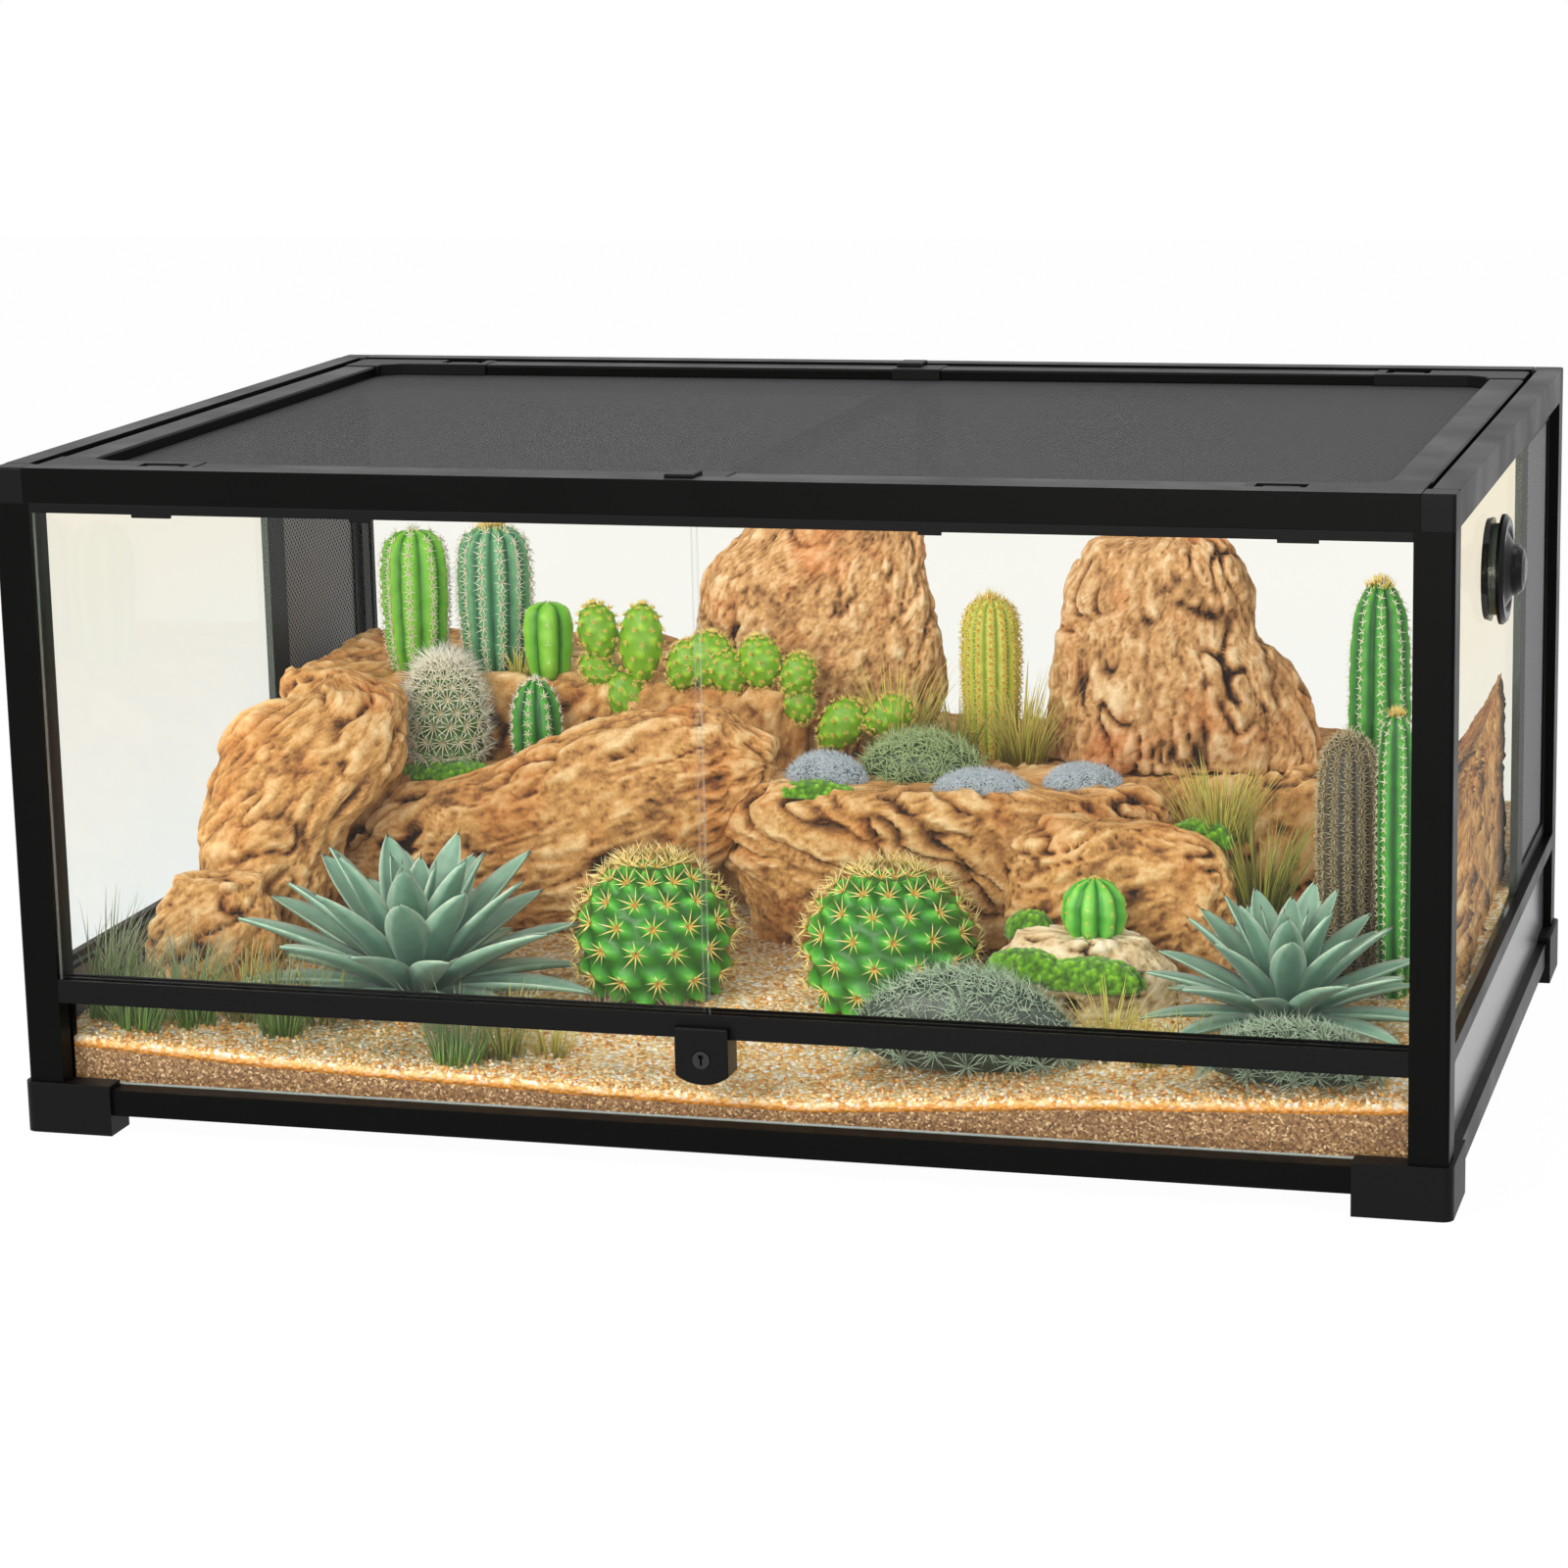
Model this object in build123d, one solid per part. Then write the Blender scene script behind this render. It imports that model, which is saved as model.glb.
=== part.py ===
"""Desert terrarium, 36 inch class: a black frame of rails and posts on four feet, glass walls, two
sliding glass doors with a key lock, side vents, a cable port, a lift-off screen lid held by four
slide latches, and a desert landscape of sand, gravel, rocks, cacti, agaves and cushions inside.

Millimetres. The origin is on the floor at the middle of the frame, +X to the right, -Y to the
front, +Z up.
"""
from build123d import *
from math import cos, pi, sin
import os

# ---------------------------------------------------------------- driving dimensions
WIDTH = 914.0              # over the feet
DEPTH = 610.0              # over the feet
HEIGHT = 430.0             # floor to the rim of the top frame
FIT = 0.3                  # air left round a seated piece
BITE = 4.0                 # how far a pane goes into its groove
TOP_BITE = 3.0             # the same in the thin ledge of the top rails
BASE_BITE = 8.0            # the base pane lies this far on its rails

FOOT_LENGTH = 60.0
FOOT_HEIGHT = 33.0
FOOT_PROUD = 3.0           # foot beyond the frame
FOOT_ROUND = 7.0           # vertical outer corner
FOOT_AIR = 0.1             # foot round its post

POST_WIDTH = 24.0          # front posts, seen from the front
BACK_POST_WIDTH = 14.0
POST_DEPTH = 24.0
POST_ROUND = 2.5

RAIL_BASE = 13.0           # underside of the bottom rails
BOTTOM_RAIL_HEIGHT = 17.0
TOP_RAIL_HEIGHT = 22.0
RIM = 16.0                 # thickness of the rim that stands round the lid
LEDGE = 18.0               # shelf that carries the lid
LEDGE_THICK = 4.0
CORNER_BLOCK = 20.0
EASED = 0.8                # small chamfer of the moulded pieces
GLASS_EASED = 0.6          # polished vertical edges of the doors

BASE_PANE = 6.0
PANE = 5.0                 # wall glass
FRONT_PANE = 4.0           # fixed glass below the doors
WALL_SET_BACK = 6.0        # wall glass behind the outer face of the frame
SILL = 86.0                # underside of the door track and of the side rails at that level
SIDE_SILL_HEIGHT = 11.0

TRACK_HEIGHT = 15.0
TRACK_FLOOR = 6.0
TRACK_LIP = 2.0
CHANNEL = 6.0              # width of one door channel
HEAD_TRACK = 6.0           # height of the upper track
HEAD_WEB = 1.5
DOOR_PANE = 5.0
DOOR_LAP = 6.0             # how far the two doors overlap
DOOR_END_GAP = 0.5
PAD_HEIGHT = 2.0
PADS = ((-348.0, 26.0), (-210.0, 14.0), (147.0, 14.0), (364.0, 24.0))   # centre x and length

LOCK_WIDTH = 34.0
LOCK_DROP = 28.0           # lock below the door track
LOCK_PROUD = 6.0           # lock in front of the track
LOCK_LAP = 8.0             # lock plate in front of the track's face
LOCK_KEY_DROP = 12.0       # key centre below the door track
CYLINDER_R = 5.5
CRANK_R = 3.9
CRANK_PIN_R = 1.4
BOLT_LIFT = 5.5            # about CRANK_R * sqrt(2)
FINGER_WIDTH = 5.3
FINGER_GAP = 1.2           # from a closed door to the finger that stops it
SLOT_AIR = 0.4             # round a finger in the track, and round the pin in the bolt

VENT_START = 100.0         # y of the vent frame's front edge
VENT_STILE = 34.0
VENT_BORDER = 10.0
VENT_FRAME = 5.0
MESH_THICK = 1.0

PORT_Y = -18.0
PORT_Z = HEIGHT - 90.0
PORT_FLANGE_R = 35.0
PORT_BORE_R = 26.0
PORT_WALL = 3.0
PORT_FLANGE = 5.0
CAP_KNOB_R = 16.5
CAP_PROUD = 16.0           # cap beyond the glass

STAY_WIDTH = 18.0
STAY_LENGTH = 96.0
STAY_THICK = 3.0

LID_RAIL = 24.0
LID_CORNER = 26.0
LID_ARM_X = 105.0
LID_ARM_Y = 40.0
LID_FRONT_GAP = 1.5
LID_GAP = 5.0              # at the sides and the back
LID_DROP = 1.4             # rails below the rim
LID_WALL = 3.0
LID_LIP = 7.3              # inner lip of the rail
MESH_BITE = 9.0            # the screen under the rails
CORNER_PROUD = 0.6         # connectors above the rails
BRACE_WIDTH = 18.0
BRACE_THICK = 7.0
JOINER_X = (-18.0, 17.0)
CLIP_X = (-18.0, 0.0)
CLIP_REACH = 8.0
CLIP_THICK = 2.0

LATCH_INSET = 83.0         # middle of a latch from the lid's corner
LATCH_WIDTH = 30.0
LATCH_LENGTH = 12.0
LATCH_TONGUE = 2.6
LATCH_GRIP = 5.0
LATCH_BITE = 4.0

# landscape: heights of the gravel's edge along the front glass, left to right
# the landscape was laid out in a tank 914 mm long and 610 mm deep, and keeps its share of another
ALONG, INWARD = WIDTH / 914.0, DEPTH / 610.0
GRAVEL_EDGE = ((-WIDTH / 2, 60.0), (-290.0 * ALONG, 51.0), (-65.0 * ALONG, 45.0), (60.0 * ALONG, 43.0),
               (230.0 * ALONG, 55.0), (WIDTH / 2, 65.0))
GROUND_SLOPE = 0.10        # rise of the ground towards the back
GRAVEL_THICK = 6.0
TERRACE_LEFT = 232.0       # heights of the rocks that carry plants
TERRACE_LOW = 176.0
TERRACE_RIGHT = 180.0
LEDGE_TOP = 182.0
LOWER_TOP = 116.0
TERRACE_SIDE = 18.0        # terrace from the glass
TERRACE_BACK = 36.0

# ---------------------------------------------------------------- places that follow
FRAME_X = WIDTH / 2 - FOOT_PROUD
FRAME_Y = DEPTH / 2 - FOOT_PROUD
RAIL_TOP = RAIL_BASE + BOTTOM_RAIL_HEIGHT
TOP_RAIL = HEIGHT - TOP_RAIL_HEIGHT
POST_INSIDE_X = FRAME_X - POST_WIDTH
BACK_POST_INSIDE_X = FRAME_X - BACK_POST_WIDTH
POST_INSIDE_Y = FRAME_Y - POST_DEPTH
RIM_INSIDE_X = FRAME_X - RIM
RIM_INSIDE_Y = FRAME_Y - RIM
LATCH_X = RIM_INSIDE_X - LID_GAP - LATCH_INSET
SILL_TOP = SILL + TRACK_HEIGHT
SIDE_SILL = SILL_TOP - SIDE_SILL_HEIGHT
WALL_OUT_X = FRAME_X - WALL_SET_BACK
WALL_IN_X = WALL_OUT_X - PANE
WALL_IN_Y = FRAME_Y - WALL_SET_BACK - PANE
TRACK_DEPTH = 3 * TRACK_LIP + 2 * CHANNEL
FRONT_CHANNEL = -FRAME_Y + TRACK_LIP
REAR_CHANNEL = FRONT_CHANNEL + CHANNEL + TRACK_LIP
TRACK_BACK = -FRAME_Y + TRACK_DEPTH
FRONT_PANE_IN = TRACK_BACK
FRONT_PANE_OUT = FRONT_PANE_IN - FRONT_PANE
TRACK_FLOOR_TOP = SILL + TRACK_FLOOR


def block(x0, x1, y0, y1, z0, z1):
    """A box between two corners."""
    return Pos((x0 + x1) / 2, (y0 + y1) / 2, (z0 + z1) / 2) * Box(abs(x1 - x0), abs(y1 - y0), abs(z1 - z0))


def room(piece, air=FIT):
    """The box that a seated pane needs, with air on every side."""
    b = piece.bounding_box()
    return block(b.min.X - air, b.max.X + air, b.min.Y - air, b.max.Y + air, b.min.Z - air, b.max.Z + air)


def mirrored(shape, plane):
    return mirror(shape, about=plane)


def save(name, *solids):
    """Writes one node: one solid, or a group of separate solids."""
    parts = []
    for solid in solids:
        parts += solid.solids() if hasattr(solid, "solids") else [solid]
    export_step(parts[0] if len(parts) == 1 else Compound(children=parts), f"parts/{name}.step")


# ---------------------------------------------------------------- panes
def make_panes():
    """Every fixed pane, before the frame is grooved for it."""
    base = block(-POST_INSIDE_X - BASE_BITE, POST_INSIDE_X + BASE_BITE,
                 -POST_INSIDE_Y - BASE_BITE, POST_INSIDE_Y + BASE_BITE, RAIL_TOP - BASE_PANE, RAIL_TOP)
    front = block(-POST_INSIDE_X - BITE, POST_INSIDE_X + BITE, FRONT_PANE_OUT, FRONT_PANE_IN,
                  RAIL_TOP, SILL + BITE)
    back = block(-BACK_POST_INSIDE_X - BITE, BACK_POST_INSIDE_X + BITE, WALL_IN_Y, WALL_IN_Y + PANE,
                 RAIL_TOP + FIT, TOP_RAIL + TOP_BITE)
    side = block(WALL_IN_X, WALL_OUT_X, -POST_INSIDE_Y - BITE, VENT_START + BITE,
                 SILL_TOP - BITE, TOP_RAIL + TOP_BITE)
    panel = block(WALL_IN_X, WALL_OUT_X, -POST_INSIDE_Y - BITE, POST_INSIDE_Y + BITE,
                  RAIL_TOP, SIDE_SILL + BITE)
    return base, front, back, side, panel


def make_vent():
    """Right vent: a frame between the side glass and the back post, and its metal mesh."""
    middle = (WALL_IN_X + WALL_OUT_X) / 2
    frame = block(middle - VENT_FRAME / 2, middle + VENT_FRAME / 2, VENT_START, POST_INSIDE_Y,
                  SILL_TOP, TOP_RAIL)
    y0, y1 = VENT_START + VENT_STILE, POST_INSIDE_Y - VENT_BORDER
    z0, z1 = SILL_TOP + VENT_BORDER, TOP_RAIL - VENT_BORDER
    frame -= block(middle - VENT_FRAME, middle + VENT_FRAME, y0, y1, z0, z1)
    mesh = block(middle - MESH_THICK / 2, middle + MESH_THICK / 2, y0 - BITE, y1 + BITE, z0 - BITE, z1 + BITE)
    return frame - room(mesh), mesh


# ---------------------------------------------------------------- frame
def make_bottom_rails():
    front = block(-FRAME_X, FRAME_X, -FRAME_Y, -POST_INSIDE_Y, RAIL_BASE, RAIL_TOP)
    back = block(-FRAME_X, FRAME_X, POST_INSIDE_Y, FRAME_Y, RAIL_BASE, RAIL_TOP)
    side = block(POST_INSIDE_X, FRAME_X, -POST_INSIDE_Y, POST_INSIDE_Y, RAIL_BASE, RAIL_TOP)
    return front, back, side


def make_post(width, inside):
    """Right front or right back post, its outer vertical edge rounded."""
    post = block(inside, FRAME_X, -FRAME_Y, -POST_INSIDE_Y, RAIL_TOP, TOP_RAIL)
    edge = post.edges().filter_by(Axis.Z).sort_by(Axis.X)[-2:].sort_by(Axis.Y)[0]
    return fillet(edge, POST_ROUND)


def make_foot(rails, posts, inside_y):
    """Front right foot: an L that wraps the corner, hollowed for the rails and the post, with only
    a skin outside the glass above the rails."""
    x1, y0 = WIDTH / 2, -DEPTH / 2
    arm = POST_WIDTH + FOOT_PROUD
    foot = block(x1 - FOOT_LENGTH, x1, y0, y0 + arm, 0, FOOT_HEIGHT)
    foot += block(x1 - arm, x1, y0, y0 + FOOT_LENGTH, 0, FOOT_HEIGHT)
    edge = foot.edges().filter_by(Axis.Z).sort_by(Axis.X)[-2:].sort_by(Axis.Y)[0]
    foot = fillet(edge, FOOT_ROUND)
    for rail in rails:
        foot -= room(rail, 0.0)
    for post in posts:
        foot -= room(post, FOOT_AIR)
    return foot - block(0, WALL_OUT_X + FOOT_AIR, inside_y, 0, RAIL_TOP, FOOT_HEIGHT)


def make_top_rails():
    """A rim that stands round the lid, with a ledge inside that carries it."""
    end_x, end_y = FRAME_X - CORNER_BLOCK, FRAME_Y - CORNER_BLOCK
    ledge_x, ledge_y = RIM_INSIDE_X - LEDGE, RIM_INSIDE_Y - LEDGE
    top = TOP_RAIL + LEDGE_THICK
    front = block(-end_x, end_x, -FRAME_Y, -RIM_INSIDE_Y, TOP_RAIL, HEIGHT)
    front += block(-end_x, end_x, -RIM_INSIDE_Y, -ledge_y, TOP_RAIL, top)
    back = mirrored(front, Plane.XZ)
    side = block(RIM_INSIDE_X, FRAME_X, -end_y, end_y, TOP_RAIL, HEIGHT)
    side += block(ledge_x, RIM_INSIDE_X, -ledge_y, ledge_y, TOP_RAIL, top)
    corner = block(end_x, FRAME_X, -FRAME_Y, -end_y, TOP_RAIL, HEIGHT)
    edge = corner.edges().filter_by(Axis.Z).sort_by(Axis.X)[-2:].sort_by(Axis.Y)[0]
    corner = fillet(edge, POST_ROUND)
    corner = chamfer(corner.edges().group_by(Axis.Z)[-1], EASED)
    return front, back, side, corner


def make_tracks():
    """Lower door track with two channels, and the shallow upper one with its four pads."""
    x = POST_INSIDE_X
    lower = block(-x, x, -FRAME_Y, TRACK_BACK, SILL, SILL_TOP)
    upper = block(-x, x, -FRAME_Y, TRACK_BACK, TOP_RAIL - HEAD_TRACK, TOP_RAIL)
    for y in (FRONT_CHANNEL, REAR_CHANNEL):
        lower -= block(-x, x, y, y + CHANNEL, TRACK_FLOOR_TOP, SILL_TOP)
        upper -= block(-x, x, y, y + CHANNEL, TOP_RAIL - HEAD_TRACK, TOP_RAIL - HEAD_WEB)
    for centre, length in PADS:
        upper += block(centre - length / 2, centre + length / 2, -FRAME_Y, FRONT_CHANNEL,
                       TOP_RAIL - HEAD_TRACK - PAD_HEIGHT, TOP_RAIL - HEAD_TRACK)
    return lower, upper


# ---------------------------------------------------------------- doors and lock
def make_doors():
    """Left pane in the front channel, right pane in the rear one, polished edges."""
    z0, z1 = TRACK_FLOOR_TOP + FIT, TOP_RAIL - HEAD_WEB - FIT
    play = (CHANNEL - DOOR_PANE) / 2
    end = POST_INSIDE_X - DOOR_END_GAP
    left = block(-end, DOOR_LAP / 2, FRONT_CHANNEL + play, FRONT_CHANNEL + CHANNEL - play, z0, z1)
    right = block(-DOOR_LAP / 2, end, REAR_CHANNEL + play, REAR_CHANNEL + CHANNEL - play, z0, z1)
    return [chamfer(door.edges().filter_by(Axis.Z), GLASS_EASED) for door in (left, right)]


def make_lock():
    """Housing under the track, key cylinder with a crank pin, and the forked bolt that it lifts."""
    key_z = SILL - LOCK_KEY_DROP
    half = LOCK_WIDTH / 2
    front, face = -FRAME_Y - LOCK_PROUD, -FRAME_Y - FIT
    bottom = SILL - LOCK_DROP
    housing = block(-half, half, front, face, bottom, SILL + LOCK_LAP)
    housing += block(-half, half, face, FRONT_PANE_OUT - FIT, bottom, SILL - FIT)
    heel = Pos(0, (front + FRONT_PANE_OUT) / 2, bottom + LOCK_DROP) * Rot(90, 0, 0)
    housing &= (heel * Cylinder(LOCK_DROP, 60)) + block(-half, half, front, 0, SILL - LOCK_KEY_DROP, HEIGHT)
    housing = chamfer(housing.faces().sort_by(Axis.Y)[0].edges(), EASED)

    finger_x = DOOR_LAP / 2 + FINGER_GAP
    web_half = finger_x + FINGER_WIDTH
    bolt_front, bolt_back = FRONT_CHANNEL + 1.0, REAR_CHANNEL + 3.0
    web_bottom, web_top = key_z - CRANK_R * 2 + 1.0, SILL - BOLT_LIFT - 1.0
    chamber = block(-web_half - 0.5, web_half + 0.5, FRONT_CHANNEL + 0.2, 0, web_bottom - 0.5, SILL)
    housing -= chamber
    housing -= Pos(0, front, key_z) * Rot(90, 0, 0) * Cylinder(CYLINDER_R + 0.3, 40)
    finger_top = TRACK_FLOOR_TOP - 0.5
    bolt = block(-web_half, web_half, bolt_front, bolt_back, web_bottom, web_top)
    bolt += block(finger_x, web_half, bolt_front, FRONT_CHANNEL + CHANNEL - 1.5, web_top, finger_top)
    bolt += block(-web_half, -finger_x, REAR_CHANNEL + 0.5, bolt_back, web_top, finger_top)
    drop = CRANK_R * cos(pi / 4)
    window = CRANK_PIN_R + SLOT_AIR
    bolt -= block(0.9, CRANK_R + CRANK_PIN_R + 0.6, bolt_front, bolt_back,
                  key_z - drop - window, key_z - drop + window)

    cylinder_back = bolt_front - 0.5
    cylinder = Pos(0, (front - 0.6 + cylinder_back) / 2, key_z) * Rot(90, 0, 0) \
        * Cylinder(CYLINDER_R, cylinder_back - front + 0.6)
    cylinder -= block(-0.7, 0.7, front - 1, front + 4, key_z - 3.4, key_z + 3.4)
    cylinder -= block(-1.7, 1.7, front - 1, front + 4, key_z + 1.0, key_z + 3.4)
    pin_back = bolt_back - 1.0
    cylinder += Pos(drop, (cylinder_back + pin_back) / 2, key_z - drop) * Rot(90, 0, 0) \
        * Cylinder(CRANK_PIN_R, pin_back - cylinder_back)

    front_slot = block(finger_x - SLOT_AIR, web_half + SLOT_AIR, bolt_front - SLOT_AIR,
                       FRONT_CHANNEL + CHANNEL - 1.1, SILL, TRACK_FLOOR_TOP)
    rear_slot = block(-web_half - SLOT_AIR, -finger_x + SLOT_AIR, REAR_CHANNEL + 0.1, bolt_back + SLOT_AIR,
                      SILL, TRACK_FLOOR_TOP)
    return housing, cylinder, bolt, (front_slot, rear_slot)


# ---------------------------------------------------------------- cable port
def make_port():
    """Ring clamped in a round hole of the right glass, and the domed cap that turns in it."""
    out, inside = WALL_OUT_X, WALL_IN_X
    hub = PORT_BORE_R + PORT_WALL

    def turned(points):
        face = make_face(Polyline(*[(r, 0, x) for r, x in points], close=True))
        return Pos(0, PORT_Y, PORT_Z) * Rot(0, 90, 0) * revolve(face, Axis.Z)

    ring = turned([(PORT_BORE_R, inside - 4), (PORT_FLANGE_R - 3, inside - 4),
                   (PORT_FLANGE_R - 2, inside - FIT),
                   (hub, inside - FIT), (hub, out + FIT), (PORT_FLANGE_R, out + FIT),
                   (PORT_FLANGE_R, out + 2.5), (PORT_FLANGE_R - 2.5, out + PORT_FLANGE),
                   (PORT_BORE_R + 2, out + PORT_FLANGE), (PORT_BORE_R, out + PORT_FLANGE - 2)])
    plug = PORT_BORE_R - FIT
    cap = turned([(0, inside + 2), (plug, inside + 2), (plug, out + 3), (CAP_KNOB_R + 5, out + 5),
                  (CAP_KNOB_R, out + 8), (CAP_KNOB_R - 0.7, out + 11), (CAP_KNOB_R - 3.5, out + 14.2),
                  (CAP_KNOB_R - 8.5, out + CAP_PROUD - 0.4), (0, out + CAP_PROUD)])
    notch = Pos(out, PORT_Y, PORT_Z - plug) * Rot(0, 90, 0) * Cylinder(4.5, 30)
    return ring, cap - notch, hub


# ---------------------------------------------------------------- lid
def make_lid():
    """Screen lid: four L connectors, rails with an inner lip, joiners, brace and mesh."""
    x1 = RIM_INSIDE_X - LID_GAP
    y0, y1 = -RIM_INSIDE_Y + LID_FRONT_GAP, RIM_INSIDE_Y - LID_GAP
    z0, z1 = TOP_RAIL + LEDGE_THICK + FIT, HEIGHT - LID_DROP
    inner_x, inner_y0, inner_y1 = x1 - LID_RAIL, y0 + LID_RAIL, y1 - LID_RAIL
    mesh_z = z1 - LID_LIP - FIT
    mesh = block(-inner_x - MESH_BITE, inner_x + MESH_BITE, inner_y0 - MESH_BITE, inner_y1 + MESH_BITE,
                 mesh_z - MESH_THICK, mesh_z)

    def rail(length):
        """Rail along X from 0 to length, outer side at y = 0, inner side at y = LID_RAIL."""
        body = block(0, length, 0, LID_RAIL, z0, z1)
        body -= block(0, length, LID_WALL, LID_RAIL - LID_WALL, z0, z1 - LID_WALL)
        body -= block(0, length, LID_WALL, LID_RAIL, z0, z1 - LID_LIP)
        tops = body.edges().filter_by(Axis.X).group_by(Axis.Z)[-1]
        return chamfer(tops, 1.2)

    arm_x, arm_y = x1 - LID_ARM_X, LID_ARM_Y
    front_left = Pos(-arm_x, y0, 0) * rail(arm_x + JOINER_X[0])
    front_right = Pos(JOINER_X[1], y0, 0) * rail(arm_x - JOINER_X[1])
    back_left = Pos(JOINER_X[0], y1, 0) * Rot(0, 0, 180) * rail(arm_x + JOINER_X[0])
    back_right = Pos(arm_x, y1, 0) * Rot(0, 0, 180) * rail(arm_x - JOINER_X[1])
    side_length = y1 - y0 - 2 * arm_y
    side_right = Pos(x1, y0 + arm_y, 0) * Rot(0, 0, 90) * rail(side_length)
    side_left = mirrored(side_right, Plane.YZ)

    def connector(y_out, way):
        """Right-hand L connector; way is +1 at the front and -1 at the back."""
        top = z1 + CORNER_PROUD
        corner = Polyline((x1, y_out), (arm_x, y_out), (arm_x, y_out + way * LID_CORNER),
                          (x1 - LID_CORNER - 14, y_out + way * LID_CORNER),
                          (x1 - LID_CORNER, y_out + way * (LID_CORNER + 8)),
                          (x1 - LID_CORNER, y_out + way * arm_y), (x1, y_out + way * arm_y), close=True)
        body = extrude(make_face(corner), amount=top - z0, dir=(0, 0, 1))
        body = Pos(0, 0, z0) * body
        outer = body.edges().filter_by(Axis.Z).sort_by(Axis.X)[-2:].sort_by(Axis.Y)
        body = fillet(outer[0] if way > 0 else outer[-1], 5)
        body = chamfer(body.faces().sort_by(Axis.Z)[-1].edges(), 0.5)
        pocket_z = top - LATCH_GRIP - FIT
        pocket = block(LATCH_X - LATCH_WIDTH / 2 - FIT, LATCH_X + LATCH_WIDTH / 2 + FIT,
                       y_out, y_out + way * (LATCH_LENGTH + 5), pocket_z, top + 1)
        return body - pocket - room(mesh), pocket_z + FIT

    connectors, latches, slots = [], [], []
    for y_out, way in ((y0, 1), (y1, -1)):
        body, latch_z = connector(y_out, way)
        connectors += [body, mirrored(body, Plane.YZ)]
        latch = make_latch(y_out, way, latch_z)
        latches += [mirrored(latch, Plane.YZ), latch]
        rim = way * -RIM_INSIDE_Y
        slot = block(LATCH_X - LATCH_WIDTH / 2 - 0.5, LATCH_X + LATCH_WIDTH / 2 + 0.5, rim,
                     rim - way * (LATCH_BITE + 1), latch_z - 0.5, latch_z + LATCH_TONGUE + 0.5)
        slots += [slot, mirrored(slot, Plane.YZ)]

    joiners, clips = [], []
    for y_out, way in ((y0, 1), (y1, -1)):
        top = z1 + CORNER_PROUD
        joiner = block(JOINER_X[0], JOINER_X[1], y_out, y_out + way * LID_CORNER, z0, top)
        joiner = chamfer(joiner.edges().group_by(Axis.Z)[-1], 0.5)
        clip = block(CLIP_X[0], CLIP_X[1], y_out - way * CLIP_REACH, y_out + way * 12,
                     HEIGHT, HEIGHT + CLIP_THICK)
        clip += block(CLIP_X[0], CLIP_X[1], y_out + way * 4, y_out + way * 12, top, HEIGHT)
        clip = chamfer(clip.edges().group_by(Axis.Z)[-1], 0.6)
        joiners.append(joiner)
        clips.append(clip)

    brace = block(-BRACE_WIDTH / 2, BRACE_WIDTH / 2, y0 + LID_WALL + FIT, y1 - LID_WALL - FIT,
                  mesh_z - MESH_THICK - BRACE_THICK, mesh_z - MESH_THICK)
    joiners = [joiner - room(mesh) - room(brace) for joiner in joiners]
    rails = {"front": (front_left, front_right), "back": (back_left, back_right),
             "side": (side_left, side_right)}
    return rails, connectors, joiners, clips, brace, mesh, latches, slots


def make_latch(y_out, way, z):
    """Right-hand slide latch, drawn back: a thin tongue with a raised thumb grip behind it."""
    x0, x1 = LATCH_X - LATCH_WIDTH / 2, LATCH_X + LATCH_WIDTH / 2
    tip, heel = y_out + way * FIT, y_out + way * (LATCH_LENGTH + FIT)
    tongue = block(x0, x1, tip, heel, z, z + LATCH_TONGUE)
    grip = block(x0 + 4, x1 - 4, heel - way * 5, heel, z, z + LATCH_GRIP - 0.6)
    latch = tongue + grip
    return chamfer(latch.edges().group_by(Axis.Z)[-1], 0.5)


# ---------------------------------------------------------------- landscape
GROUND_FRONT = FRONT_PANE_IN + FIT
GROUND_BACK = WALL_IN_Y - FIT


def ground_height(x, y):
    """Height of the gravel at a place."""
    for (xa, za), (xb, zb) in zip(GRAVEL_EDGE, GRAVEL_EDGE[1:]):
        if xa <= x <= xb:
            return za + (zb - za) * (x - xa) / (xb - xa) + GROUND_SLOPE * (y - GROUND_FRONT)
    return GRAVEL_EDGE[0][1]


def ground_body(lower_by):
    """Everything under a surface that lies lower_by below the top of the gravel."""
    floor = -200.0
    edge = [(x, GROUND_FRONT, z - lower_by) for x, z in GRAVEL_EDGE]
    edge += [(GRAVEL_EDGE[-1][0], GROUND_FRONT, floor), (GRAVEL_EDGE[0][0], GROUND_FRONT, floor)]
    run = GROUND_BACK - GROUND_FRONT
    return extrude(make_face(Polyline(*edge, close=True)), amount=run * (1 + GROUND_SLOPE ** 2) ** 0.5,
                   dir=Vector(0, 1, GROUND_SLOPE))


def make_ground():
    """Brown sand with a thin layer of golden gravel, both inside the glass and the posts."""
    side = WALL_IN_X - FIT
    between_posts = POST_INSIDE_Y - FIT
    z0 = RAIL_TOP + FIT
    inside = block(-POST_INSIDE_X + FIT, POST_INSIDE_X - FIT, GROUND_FRONT, GROUND_BACK, z0, HEIGHT)
    inside += block(-side, side, -between_posts, between_posts, z0, HEIGHT)
    sand = ground_body(GRAVEL_THICK) & inside
    gravel = (ground_body(0) - ground_body(GRAVEL_THICK)) & inside
    return sand, gravel


def ring_of(cx, cy, rx, ry, count, wobble, turn=0.0, ribs=0, rib_depth=0.0):
    """Closed outline round a point: an ellipse of count points, made uneven by a wobble or ribs."""
    points = []
    for i in range(count):
        a = 2 * pi * i / count
        r = 1 + wobble * (0.6 * sin(3 * a + turn) + 0.4 * sin(5 * a + 2.3 * turn) + 0.3 * cos(2 * a - turn))
        if ribs:
            r *= 1 - (rib_depth if i % 2 else 0.0)
        points.append((cx + rx * r * cos(a), cy + ry * r * sin(a)))
    return points


def flat(*points):
    return make_face(Polyline(*points, close=True))


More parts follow.
